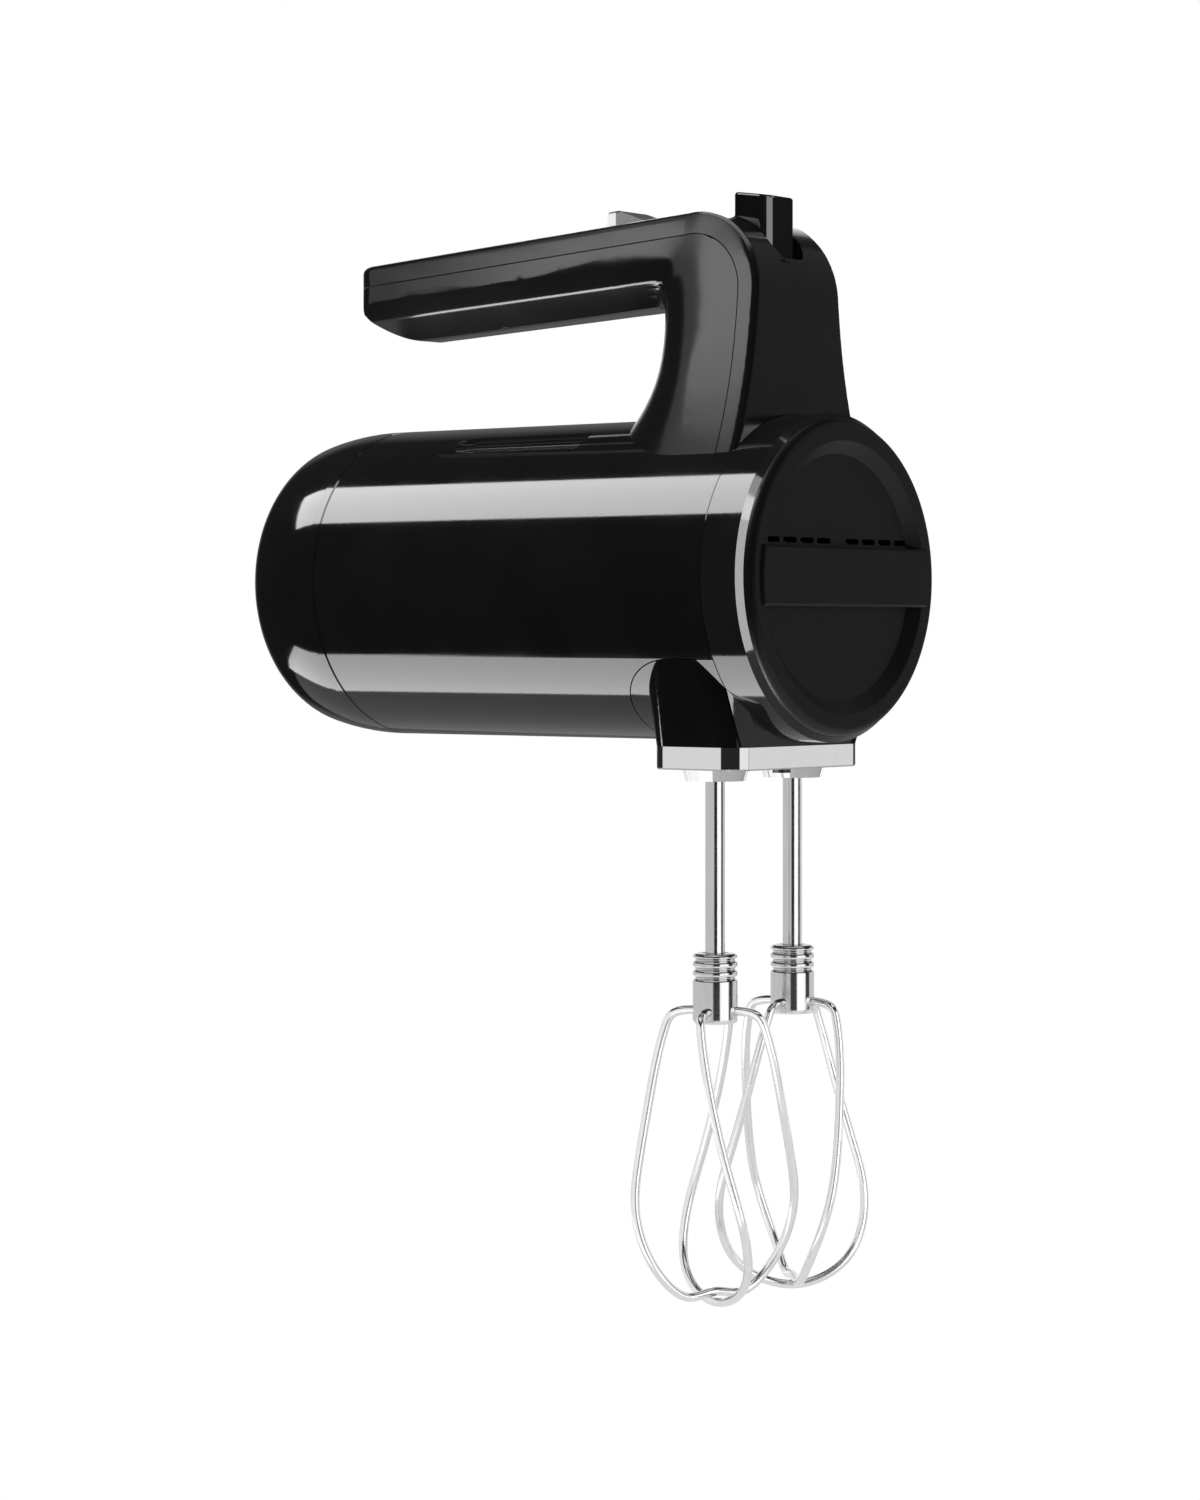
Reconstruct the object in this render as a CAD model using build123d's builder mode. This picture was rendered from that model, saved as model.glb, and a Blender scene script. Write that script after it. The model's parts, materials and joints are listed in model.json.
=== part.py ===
from build123d import *
import math
import os

# Cordless hand mixer. Millimetres, +Z up. The barrel lies along Y with its heel face at Y = 0
# and its nose towards -Y. The two beaters hang below the nose and the handle stands above the barrel.

# Barrel, rear cap and nose
BARREL_R = 43.0
WALL = 2.6
REAR_SEAM_Y = -32.5
FRONT_SEAM_Y = -167.3
NOSE_L = 12.5
NOSE_Y = FRONT_SEAM_Y - NOSE_L
SEAM_BEVEL = 0.4
SPIGOT_L = 6.0
SPIGOT_WALL = 2.0
SLIP = 0.1
CROWN_R = 75.0
CROWN_START_Y = -29.5
HEEL_EDGE_R = 14.5

# Front cap, its recess and its bare band
NOSE_BEVEL = 1.5
FRONT_CAP_R = BARREL_R - NOSE_BEVEL - SLIP
CAP_STAND = 2.4
FRONT_CAP_Y = NOSE_Y - CAP_STAND
RIM_W = 9.1
RIM_INNER_R = FRONT_CAP_R - RIM_W
RIM_SLOPE = 3.4
RECESS_DEPTH = 2.6
RECESS_Y = FRONT_CAP_Y + RECESS_DEPTH
CAP_WALL = 3.6
FRONT_CAP_BACK_Y = RECESS_Y + CAP_WALL
BAND_MARGIN = 4.0
BAND_HALF = FRONT_CAP_R - BAND_MARGIN
BAND_LOW_Z = -7.5
BAND_HIGH_Z = 8.0
BAND_T = 3.4
BAND_FACE_Y = RECESS_Y - BAND_T
BAND_BEVEL = 0.6
VENT_W = 6.0
VENT_H = 1.5
VENT_PITCH = 7.4
VENT_COUNT = 4
VENT_OFFSET = 17.5

# Handle and neck
BAR_REAR_Y = -20.5
BAR_FRONT_Y = -152.0
BAR_TOP_Z = 89.3
BAR_TOP_SLOPE = 0.0585
BAR_UNDER_Z = 67.4
BAR_UNDER_SLOPE = 0.052
BAR_REAR_HALF = 14.0
BAR_FRONT_HALF = 17.4
BAR_SIDE_DEPTH = 11.0
BAR_SIDE_R = 6.0
BAR_CREASE_H = 6.2
BAR_CREASE_IN = 2.0
BAR_CREASE_R = 3.0
BAR_FLAT_IN = 10.5
BAR_FLAT_R = 4.0
BAR_END_R = 8.0
BAR_HEEL_R = 19.0
PLAN_SLACK = 0.05
NECK_FRONT_Y = -167.2
NECK_SIDE_Y = -148.0
NECK_REAR_Y = -127.4
NECK_CORNER_R = 22.0
# Height, half width and rear end of each section of the neck.
NECK_SECTIONS = (
    (24.0, 33.0, -92.0),
    (34.0, 28.0, -110.0),
    (45.0, 24.3, -121.0),
    (56.0, 21.6, -126.3),
    (68.0, 19.7, NECK_REAR_Y),
    (82.0, 18.4, NECK_REAR_Y),
    (100.0, 17.6, NECK_REAR_Y),
)
COVER_DEPTH = 5.8
COVER_WALL = 2.4
COVER_SEAM = 0.3
COVER_EDGE_R = 2.0

# Flutes on the barrel behind the neck
FLUTE_ANGLE = 30.0
FLUTE_R = 12.0
FLUTE_DEPTH = 1.1
FLUTE_REAR_Y = -72.0
FLUTE_FRONT_Y = -112.0

# Foot, trim plate and beater sockets
BEATER_X = 17.14
BEATER_Y = -152.4
FOOT_HALF_X = 28.5
FOOT_REAR_Y = -138.6
FOOT_FRONT_Y = -168.2
FOOT_TOP_HALF_X = 38.8
FOOT_TOP_FRONT_Y = -172.5
FOOT_TOP_Z = -18.0
FOOT_R = 6.5
PLATE_DROP = 1.0
PLATE_T = 6.0
PLATE_TOP_Z = -BARREL_R - PLATE_DROP
PLATE_LOW_Z = PLATE_TOP_Z - PLATE_T
ARCH_TOP_Z = -21.0
ARCH_REAR_Y = -130.5
ARCH_R = 22.0
ARCH_SEAM = 0.3
FOOT_WALL = 3.0
COLLAR_R = 8.9
COLLAR_TIP_R = 8.0
COLLAR_TIP_H = 3.0
COLLAR_TIP_Z = PLATE_LOW_Z - COLLAR_TIP_H
COLLAR_SLEEVE_R = 7.0
SCREW_HALF_PITCH = 8.0
SCREW_R = 1.5
SCREW_HEAD_R = 2.4
SCREW_HEAD_H = 1.2
SCREW_L = 12.0

# Beaters
SHAFT_R = 2.6
SHAFT_TOP_Z = 9.0
FERRULE_R = 5.9
FERRULE_TOP_Z = -98.1
FERRULE_LOW_Z = -116.3
FERRULE_GROOVES = 3
FERRULE_GROOVE_PITCH = 2.35
FERRULE_GROOVE_D = 0.7
WIRE_R = 1.18
WIRE_ROOT_Z = -113.2
WIRE_ROOT_R = 4.2
WIRE_SEAT = 0.25
LOOP_LOW_Z = -190.5
LOOP_HUMP = 2.7
OUTER_DIP = 1.7
INNER_DIP = 1.9
# Radius and height of the wire between its root and the foot of the loop.
LOOP_POINTS = (
    (8.6, -113.3),
    (12.0, -114.6),
    (13.7, -118.2),
    (15.2, -124.5),
    (17.4, -137.2),
    (20.1, -152.0),
    (21.7, -164.0),
    (20.3, -173.4),
    (15.5, -182.4),
)
LOOP_FOOT_R = 8.0
TWIST_PER_MM = 0.71
TWIST_AT_ROOT = 18.5
MESH_OFFSET = 28.0
WING_R = 3.75
WING_T = 1.3
WING_TOP_Z = -38.0
WING_LOW_Z = -44.0
WING_GAP = 0.2

# Drive train
RUN = 0.07
MODULE = 1.0
GEAR_TEETH = 26
WORM_STARTS = 2
GEAR_FACE = 5.0
WORM_TURNS = 3
WORM_END = 2.0
HUB_R = 7.0
HUB_GAP = 0.2
HUB_FIT = 0.03
CLIP_Z = -24.0
CLIP_W = 6.0
CLIP_SEAT_R = 3.7
CLIP_T = 0.9
TOOTH_T = 1.05
TOOTH_ROOT = 0.75 * TOOTH_T
TOOTH_TIP = 0.3 * TOOTH_T
ADDENDUM = 0.95 * MODULE
DEDENDUM = 1.2 * MODULE
MOTOR_SHAFT_R = 2.0
SPINDLE_R = 4.2
SPINDLE_TOP_Z = 10.0
SPINDLE_OUT = 1.5
SPINDLE_LOW_Z = PLATE_LOW_Z - SPINDLE_OUT
FRAME_TOP_Z = 9.5
FRAME_LOW_Z = -11.5
FRAME_T = 3.0
POST_R = 3.6
BUSH_R = 4.0
BUSH_L = 4.0
BOSS_R = 6.5
BOSS_L = 2.5
MOTOR_SCREW_X = 11.0
MOTOR_SCREW_Z = 4.4
MOTOR_SCREW_R = 1.2
MOTOR_SCREW_HEAD_R = 1.8
MOTOR_SCREW_HEAD_H = 1.4
FRAME_REAR_Y = -134.0
FRAME_FRONT_Y = -172.5
MOTOR_R = 21.0
MOTOR_REAR_Y = -91.0
MOTOR_WALL = 1.5
BELL_T = 3.0
MAGNET_T = 4.0
MAGNET_L = 28.0
MAGNET_ARC = 140.0
ARMATURE_R = 14.2
ARMATURE_L = 26.0
ARMATURE_POLES = 5
POLE_SLOT = 2.4
COIL_R = 11.5
COIL_L = 3.5
COMMUTATOR_R = 5.0
COMMUTATOR_L = 3.6
FAN_R = 18.0
FAN_REAR_Y = -79.0
FAN_T = 6.0
FAN_HUB_R = 5.0
FAN_BLADES = 8
BLADE_T = 1.2

# Ejector
EJECT_Y = -155.6
BUTTON_X = 13.0
BUTTON_Y = 12.6
BUTTON_R = 3.2
BUTTON_TOP_Z = 102.4
BUTTON_LOW_Z = 79.0
EJECT_TRAVEL = 9.0
EJECT_ROD_R = 2.4
PUSHER_R = 2.3
PUSHER_GAP = 0.3
FORK_T = 2.5
FORK_MARGIN = 4.0
BUTTON_DROP = 1.8
BUTTON_EDGE_R = 0.8
SPRING_SEAT_Z = 56.0
SPRING_R = 4.2
SPRING_WIRE = 0.9
SPRING_TURNS = 5
WELL_GAP = 0.6
WELL_FRONT = 2.6

# Speed slider
KNOB_REAR_Y = -107.2
KNOB_L = 13.2
KNOB_HALF_X = 6.5
KNOB_H = 5.4
KNOB_LEAN = 1.2
KNOB_TIP_H = 1.6
KNOB_EDGE_R = 0.6
SLIDE_TRAVEL = 21.0
STEM_HALF_X = 3.0
STEM_L = 9.0
CARRIAGE_T = 1.8
CARRIAGE_L = 22.0
CARRIAGE_HALF_X = 8.0
SWITCH_HALF_X = 7.0
SWITCH_L = 46.0
SWITCH_H = 8.0

# Battery, charge socket and board
CELL_R = 9.15
CELL_L = 65.0
CELL_PCR = 24.0
CELL_REAR_Y = -9.0
CELL_COUNT = 3
HOLDER_T = 2.4
SPINE_WALL = 1.6
JACK_FLANGE_R = 8.0
JACK_FLANGE_T = 2.0
JACK_FACE_Y = -1.0
JACK_R = 4.6
JACK_L = 12.0
JACK_HOLE_R = 2.9
JACK_PIN_R = 1.0
INLET_R = 5.2
BOARD_ROOM = 13.4
BOARD_Z = BARREL_R - WALL - BOARD_ROOM
BOARD_T = 1.6
BOARD_HALF_X = 15.0
BOARD_L = 40.0
MOUNT_T = 5.0
MOUNT_SPOKE = 9.0
MOUNT_INSET = 5.0
CHIP = 9.0
CHIP_T = 2.0
CAPACITOR_R = 4.0
CAPACITOR_L = 8.0

os.makedirs("parts", exist_ok=True)


def write(piece, name):
    piece.part.label = name
    export_step(piece.part, f"parts/{name}.step")


def across(y):
    # A plane square to the barrel at the given Y, facing the nose, with X across and Z up.
    return Plane.XZ.offset(-y)


def top_z(y):
    return BAR_TOP_Z + (BAR_REAR_Y - y) * BAR_TOP_SLOPE


def under_z(y):
    return BAR_UNDER_Z + (BAR_REAR_Y - y) * BAR_UNDER_SLOPE


inner_r = BARREL_R - WALL
spigot_r = inner_r - SLIP

# Rear cap: a crown arc runs into a tighter edge arc that meets the flat heel face.
heel_r = BARREL_R - CROWN_R + math.sqrt(
    (CROWN_R - HEEL_EDGE_R) ** 2 - (CROWN_START_Y + HEEL_EDGE_R) ** 2)
edge_angle = math.atan2(-HEEL_EDGE_R - CROWN_START_Y, heel_r - BARREL_R + CROWN_R)


def dome_point(radius_less, angle, on_crown):
    # A point of the cap's profile, offset inwards, at an angle from the radial direction.
    if on_crown:
        centre, radius = (BARREL_R - CROWN_R, CROWN_START_Y), CROWN_R - radius_less
    else:
        centre, radius = (heel_r, -HEEL_EDGE_R), HEEL_EDGE_R - radius_less
    return (centre[0] + radius * math.cos(angle), centre[1] + radius * math.sin(angle))


with BuildPart() as rear_cap:
    with BuildSketch(Plane.XY):
        with BuildLine():
            Line((0, 0), (heel_r, 0))
            ThreePointArc((heel_r, 0), dome_point(0, (edge_angle + math.pi / 2) / 2, False),
                          dome_point(0, edge_angle, True))
            ThreePointArc(dome_point(0, edge_angle, True), dome_point(0, edge_angle / 2, True),
                          (BARREL_R, CROWN_START_Y))
            Polyline((BARREL_R, CROWN_START_Y), (BARREL_R, REAR_SEAM_Y + SEAM_BEVEL),
                     (BARREL_R - SEAM_BEVEL, REAR_SEAM_Y), (spigot_r, REAR_SEAM_Y),
                     (spigot_r, REAR_SEAM_Y - SPIGOT_L),
                     (spigot_r - SPIGOT_WALL, REAR_SEAM_Y - SPIGOT_L),
                     (spigot_r - SPIGOT_WALL, CROWN_START_Y),
                     (inner_r, CROWN_START_Y + SPIGOT_WALL),
                     dome_point(WALL, edge_angle / 2, True))
            ThreePointArc(dome_point(WALL, edge_angle / 2, True),
                          dome_point(WALL, edge_angle * 0.75, True),
                          dome_point(WALL, edge_angle, True))
            ThreePointArc(dome_point(WALL, edge_angle, True),
                          dome_point(WALL, (edge_angle + math.pi / 2) / 2, False), (heel_r, -WALL))
            Polyline((heel_r, -WALL), (0, -WALL), (0, 0))
        make_face()
    revolve(axis=Axis.Y)
    with BuildSketch(across(0)):
        Circle(INLET_R)
    extrude(amount=WALL, mode=Mode.SUBTRACT)
write(rear_cap, "rear_cap")

# Barrel and handle moulding: the neck is a loft that flares into the barrel, the grip bar a tapered loft.
with BuildPart() as neck:
    for height, half, rear in NECK_SECTIONS:
        with BuildSketch(Plane.XY.offset(height)):
            with BuildLine():
                Polyline((-half, NECK_SIDE_Y), (-half, NECK_FRONT_Y),
                         (half, NECK_FRONT_Y), (half, NECK_SIDE_Y))
                EllipticalCenterArc((0, NECK_SIDE_Y), half, rear - NECK_SIDE_Y, 0, arc_size=180)
            make_face()
    loft()

with BuildPart() as grip_bar:
    for y, half in ((BAR_REAR_Y, BAR_REAR_HALF), (BAR_FRONT_Y, BAR_FRONT_HALF)):
        with BuildSketch(across(y)) as bar_section:
            with BuildLine():
                Polyline((-half, top_z(y)), (half, top_z(y)), (half, top_z(y) - BAR_SIDE_DEPTH),
                         (half - BAR_CREASE_IN, under_z(y) + BAR_CREASE_H),
                         (half - BAR_FLAT_IN, under_z(y)), (BAR_FLAT_IN - half, under_z(y)),
                         (BAR_CREASE_IN - half, under_z(y) + BAR_CREASE_H),
                         (-half, top_z(y) - BAR_SIDE_DEPTH), close=True)
            make_face()
            for height, radius in ((under_z(y), BAR_FLAT_R), (under_z(y) + BAR_CREASE_H, BAR_CREASE_R),
                                   (top_z(y) - BAR_SIDE_DEPTH, BAR_SIDE_R)):
                corners = bar_section.vertices()
                fillet(corners.filter_by_position(Axis.Y, height - PLAN_SLACK, height + PLAN_SLACK), radius)
    loft(ruled=True)
    # The end of the bar is rounded in plan.
    with BuildSketch(Plane.XY) as bar_plan:
        with BuildLine():
            Polyline((-BAR_REAR_HALF - PLAN_SLACK, BAR_REAR_Y + PLAN_SLACK),
                     (BAR_REAR_HALF + PLAN_SLACK, BAR_REAR_Y + PLAN_SLACK),
                     (BAR_FRONT_HALF + PLAN_SLACK, NECK_FRONT_Y),
                     (-BAR_FRONT_HALF - PLAN_SLACK, NECK_FRONT_Y), close=True)
        make_face()
        fillet(bar_plan.vertices().group_by(Axis.Y)[-1], BAR_END_R)
    extrude(amount=3 * BARREL_R, mode=Mode.INTERSECT)


def outline_face(inset):
    # Side view of the handle's top line, round corner and front line, moved inwards by inset.
    lean = math.atan(BAR_TOP_SLOPE)
    drop = inset / math.cos(lean)
    front = NECK_FRONT_Y + inset
    with BuildSketch(Plane.YZ) as face:
        with BuildLine():
            Polyline((0, top_z(0) - drop), (front, top_z(front) - drop), (front, 0), (0, 0), close=True)
        make_face()
        fillet(face.vertices().group_by(Axis.X)[0].sort_by(Axis.Y)[-1], NECK_CORNER_R - inset)
    return face.sketch


def rim_edges(part):
    # Edges where the top, the round corner and the front of the handle meet its sides.
    found = {}
    for face in part.faces():
        normal = face.normal_at(face.center())
        if abs(normal.X) < PLAN_SLACK and normal.Z > normal.Y:
            for edge in face.edges():
                middle = edge @ 0.5
                spot = (round(middle.X, 2), round(middle.Y, 2), round(middle.Z, 2))
                found.setdefault(spot, []).append(edge)
    low = NECK_SECTIONS[1][0]
    return [edges[0] for spot, edges in found.items() if len(edges) == 1 and spot[2] > low]


with BuildPart() as handle:
    add(neck.part)
    add(grip_bar.part)
    extrude(outline_face(0), amount=2 * BARREL_R, both=True, mode=Mode.INTERSECT)
    fillet(rim_edges(handle.part), COVER_EDGE_R)
    # The lower rear corner of the bar sweeps up to its end.
    heel_y = BAR_REAR_Y - BAR_HEEL_R
    with BuildSketch(Plane.YZ):
        with Locations((heel_y, under_z(heel_y) + BAR_HEEL_R)):
            Rectangle(2 * BAR_HEEL_R, 2 * BAR_HEEL_R, align=(Align.MIN, Align.MAX))
            Circle(BAR_HEEL_R, mode=Mode.SUBTRACT)
    extrude(amount=2 * BAR_FRONT_HALF, both=True, mode=Mode.SUBTRACT)


def arch_face(inset):
    # Side view of the opening that the foot shroud fills, moved inwards by inset.
    with BuildSketch(Plane.YZ) as face:
        with BuildLine():
            Polyline((ARCH_REAR_Y - inset, ARCH_TOP_Z - inset), (FRONT_SEAM_Y, ARCH_TOP_Z - inset),
                     (FRONT_SEAM_Y, PLATE_LOW_Z), (ARCH_REAR_Y - inset, PLATE_LOW_Z), close=True)
        make_face()
        fillet(face.vertices().group_by(Axis.X)[-1].sort_by(Axis.Y)[-1], ARCH_R - inset)
    return face.sketch


well_x = BUTTON_X + 2 * WELL_GAP
well_y = BUTTON_Y + 2 * WELL_GAP
flute_out = BARREL_R + FLUTE_R - FLUTE_DEPTH
seam_drop = (COVER_DEPTH + COVER_SEAM) / math.cos(math.atan(BAR_TOP_SLOPE))
slope_plane = Plane(origin=(0, KNOB_REAR_Y, top_z(KNOB_REAR_Y)), x_dir=(1, 0, 0),
                    z_dir=(0, BAR_TOP_SLOPE, 1))
switch_start = -(SLIDE_TRAVEL + KNOB_L) / 2

with BuildPart() as handle_lower:
    add(handle.part)
    extrude(outline_face(COVER_DEPTH + COVER_SEAM), amount=2 * BARREL_R, both=True, mode=Mode.INTERSECT)

with BuildPart() as main_housing:
    with BuildSketch(across(REAR_SEAM_Y)):
        Circle(BARREL_R)
    extrude(amount=REAR_SEAM_Y - FRONT_SEAM_Y)
    chamfer(main_housing.edges().filter_by(GeomType.CIRCLE), SEAM_BEVEL)
    add(handle_lower.part)
    with BuildSketch(across(REAR_SEAM_Y)):
        Circle(inner_r)
    extrude(amount=REAR_SEAM_Y - FRONT_SEAM_Y, mode=Mode.SUBTRACT)
    extrude(arch_face(0), amount=2 * BARREL_R, both=True, mode=Mode.SUBTRACT)
    for angle in (-FLUTE_ANGLE, FLUTE_ANGLE):
        flute_x = flute_out * math.sin(math.radians(angle))
        flute_z = flute_out * math.cos(math.radians(angle))
        with BuildSketch(across(FLUTE_REAR_Y)):
            with Locations((flute_x, flute_z)):
                Circle(FLUTE_R)
        extrude(amount=FLUTE_REAR_Y - FLUTE_FRONT_Y, mode=Mode.SUBTRACT)
        with Locations((flute_x, FLUTE_REAR_Y, flute_z)):
            Sphere(FLUTE_R, mode=Mode.SUBTRACT)
    with BuildSketch(Plane.XY.offset(SPRING_SEAT_Z)):
        with Locations((0, EJECT_Y)):
            RectangleRounded(well_x, well_y, BUTTON_R + WELL_GAP)
    extrude(amount=BARREL_R, mode=Mode.SUBTRACT)
    with BuildSketch(Plane.XY):
        with Locations((0, EJECT_Y)):
            Circle(EJECT_ROD_R + WELL_GAP)
    extrude(amount=SPRING_SEAT_Z, mode=Mode.SUBTRACT)
    with BuildSketch(slope_plane.offset(-COVER_DEPTH - COVER_SEAM)):
        with Locations((0, switch_start)):
            Rectangle(2 * (SWITCH_HALF_X + SLIP), SWITCH_L + 2 * SLIP)
    extrude(amount=-SWITCH_H - SLIP, mode=Mode.SUBTRACT)
write(main_housing, "main_housing")

# Handle cover: the top and front strip, hollow under its top wall.
slot_l = STEM_L + SLIDE_TRAVEL + 2 * WELL_GAP
with BuildPart() as handle_cover:
    add(handle.part)
    extrude(outline_face(COVER_DEPTH), amount=2 * BARREL_R, both=True, mode=Mode.SUBTRACT)
    with BuildSketch(across(0)):
        Circle(BARREL_R + SLIP)
    extrude(amount=-FRONT_SEAM_Y + WALL, mode=Mode.SUBTRACT)
    with BuildSketch(Plane.XY.offset(BUTTON_LOW_Z - EJECT_TRAVEL - WELL_GAP)):
        with Locations((0, EJECT_Y - WELL_FRONT / 2)):
            RectangleRounded(well_x, well_y + WELL_FRONT, BUTTON_R + WELL_GAP)
    extrude(amount=BARREL_R, mode=Mode.SUBTRACT)
    with BuildSketch(slope_plane.offset(-COVER_WALL)):
        with Locations((0, switch_start)):
            Rectangle(2 * (CARRIAGE_HALF_X + WELL_GAP), CARRIAGE_L + SLIDE_TRAVEL + 2 * WELL_GAP)
    extrude(amount=-COVER_DEPTH, mode=Mode.SUBTRACT)
    with BuildSketch(slope_plane):
        with Locations((0, switch_start)):
            SlotOverall(slot_l, 2 * (STEM_HALF_X + WELL_GAP), rotation=90)
    extrude(amount=-COVER_DEPTH, mode=Mode.SUBTRACT)
write(handle_cover, "handle_cover")

# Foot: a tapered block that grows out of the barrel above the beaters.
foot_mid_y = (FOOT_REAR_Y + FOOT_FRONT_Y) / 2
foot_depth = FOOT_REAR_Y - FOOT_FRONT_Y
top_depth = FOOT_REAR_Y - FOOT_TOP_FRONT_Y
with BuildPart() as foot:
    with BuildSketch(Plane.XY.offset(FOOT_TOP_Z)):
        with Locations((0, (FOOT_REAR_Y + FOOT_TOP_FRONT_Y) / 2)):
            RectangleRounded(2 * FOOT_TOP_HALF_X, top_depth, 2 * FOOT_R)
    with BuildSketch(Plane.XY.offset(PLATE_TOP_Z)):
        with Locations((0, foot_mid_y)):
            RectangleRounded(2 * FOOT_HALF_X, foot_depth, FOOT_R)
    loft(ruled=True)

with BuildPart() as barrel_rest:
    # The barrel all round the arch, with the clearance of the seam.
    with BuildSketch(across(REAR_SEAM_Y)):
        Circle(BARREL_R + SLIP)
    extrude(amount=REAR_SEAM_Y - NOSE_Y)
    extrude(arch_face(ARCH_SEAM), amount=2 * BARREL_R, both=True, mode=Mode.SUBTRACT)

with BuildPart() as foot_shroud:
    with BuildSketch(across(ARCH_REAR_Y)):
        Circle(BARREL_R)
    extrude(amount=ARCH_REAR_Y - FRONT_SEAM_Y)
    extrude(arch_face(ARCH_SEAM), amount=2 * BARREL_R, both=True, mode=Mode.INTERSECT)
    add(foot.part)
    with BuildSketch(across(0)):
        Circle(inner_r)
    extrude(amount=-2 * NOSE_Y, mode=Mode.SUBTRACT)
    with BuildSketch(Plane.XY.offset(PLATE_TOP_Z)):
        with Locations((0, foot_mid_y)):
            RectangleRounded(2 * (FOOT_HALF_X - FOOT_WALL), foot_depth - 2 * FOOT_WALL, FOOT_R - FOOT_WALL)
    extrude(amount=-PLATE_TOP_Z, mode=Mode.SUBTRACT)
    split(bisect_by=across(FRONT_SEAM_Y + ARCH_SEAM), keep=Keep.BOTTOM)
    add(barrel_rest.part, mode=Mode.SUBTRACT)
write(foot_shroud, "foot_shroud")

# Nose housing: the front ring with the chin that closes the foot's front.
with BuildPart() as nose_housing:
    add(foot.part)
    split(bisect_by=across(FRONT_SEAM_Y), keep=Keep.TOP)
    with BuildSketch(across(FRONT_SEAM_Y)):
        Circle(BARREL_R)
    extrude(amount=FRONT_SEAM_Y - NOSE_Y)
    chamfer(nose_housing.edges().filter_by(GeomType.CIRCLE).group_by(Axis.Y)[0], NOSE_BEVEL)
    with BuildSketch(across(FRONT_SEAM_Y - SPIGOT_WALL)):
        Circle(inner_r)
    extrude(amount=FRONT_SEAM_Y - NOSE_Y, mode=Mode.SUBTRACT)
    with BuildSketch(across(FRONT_SEAM_Y + SPIGOT_L)):
        Circle(spigot_r)
    extrude(amount=SPIGOT_L)
    with BuildSketch(across(FRONT_SEAM_Y + SPIGOT_L)):
        Circle(spigot_r - SPIGOT_WALL)
    extrude(amount=FRONT_SEAM_Y + SPIGOT_L - NOSE_Y, mode=Mode.SUBTRACT)
    extrude(arch_face(-SPIGOT_WALL), amount=2 * BARREL_R, both=True, mode=Mode.SUBTRACT)
write(nose_housing, "nose_housing")

# Front cap: a broad rounded rim round a shallow recess, cut across for the band and pierced by air slots.
band_l = 2 * BAND_HALF
band_h = BAND_HIGH_Z - BAND_LOW_Z
band_mid_z = (BAND_HIGH_Z + BAND_LOW_Z) / 2
rim_edge = NOSE_Y - FRONT_CAP_Y - SLIP
with BuildPart() as front_cap:
    with BuildSketch(Plane.XY):
        with BuildLine():
            Polyline((0, FRONT_CAP_BACK_Y), (0, RECESS_Y), (RIM_INNER_R, RECESS_Y),
                     (RIM_INNER_R + RIM_SLOPE, FRONT_CAP_Y), (FRONT_CAP_R - rim_edge, FRONT_CAP_Y))
            RadiusArc((FRONT_CAP_R - rim_edge, FRONT_CAP_Y), (FRONT_CAP_R, NOSE_Y - SLIP), -rim_edge)
            Polyline((FRONT_CAP_R, NOSE_Y - SLIP), (FRONT_CAP_R, NOSE_Y), (spigot_r, NOSE_Y),
                     (spigot_r, FRONT_CAP_BACK_Y), (0, FRONT_CAP_BACK_Y))
        make_face()
    revolve(axis=Axis.Y)
    with BuildSketch(across(RECESS_Y)):
        with Locations((0, band_mid_z)):
            Rectangle(2 * BARREL_R, band_h + 2 * SLIP)
        Circle(BAND_HALF + SLIP, mode=Mode.INTERSECT)
    extrude(amount=RECESS_Y - FRONT_CAP_Y, mode=Mode.SUBTRACT)
    with BuildSketch(across(FRONT_CAP_BACK_Y)):
        for side in (-1, 1):
            with Locations((side * VENT_OFFSET, BAND_HIGH_Z + VENT_H)):
                with GridLocations(VENT_PITCH, 0, VENT_COUNT, 1):
                    SlotOverall(VENT_W, VENT_H)
    extrude(amount=FRONT_CAP_BACK_Y - RECESS_Y, mode=Mode.SUBTRACT)
write(front_cap, "front_cap")

with BuildPart() as front_band:
    with BuildSketch(across(RECESS_Y)):
        with Locations((0, band_mid_z)):
            Rectangle(2 * BARREL_R, band_h)
        Circle(BAND_HALF, mode=Mode.INTERSECT)
    extrude(amount=RECESS_Y - BAND_FACE_Y)
    chamfer(front_band.faces().sort_by(Axis.Y)[0].edges(), BAND_BEVEL)
write(front_band, "front_band")

# Trim plate under the foot, with the two socket collars pressed up into it.
beater_spots = ((-BEATER_X, BEATER_Y), (BEATER_X, BEATER_Y))
screw_spots = ((0, foot_mid_y - SCREW_HALF_PITCH), (0, foot_mid_y + SCREW_HALF_PITCH))
with BuildPart() as trim_plate:
    with BuildSketch(Plane.XY.offset(PLATE_LOW_Z)):
        with Locations((0, foot_mid_y)):
            RectangleRounded(2 * FOOT_HALF_X, foot_depth, FOOT_R)
    extrude(amount=PLATE_TOP_Z - PLATE_LOW_Z)
    chamfer(trim_plate.faces().sort_by(Axis.Z)[0].edges(), SEAM_BEVEL)
    with BuildSketch(Plane.XY.offset(PLATE_LOW_Z)):
        with Locations(*beater_spots):
            Circle(COLLAR_SLEEVE_R + SLIP)
    extrude(amount=PLATE_TOP_Z - PLATE_LOW_Z, mode=Mode.SUBTRACT)
    with Locations(*[(x, y, PLATE_TOP_Z) for x, y in screw_spots]):
        Hole(SCREW_R + SLIP)
write(trim_plate, "trim_plate")

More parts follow.
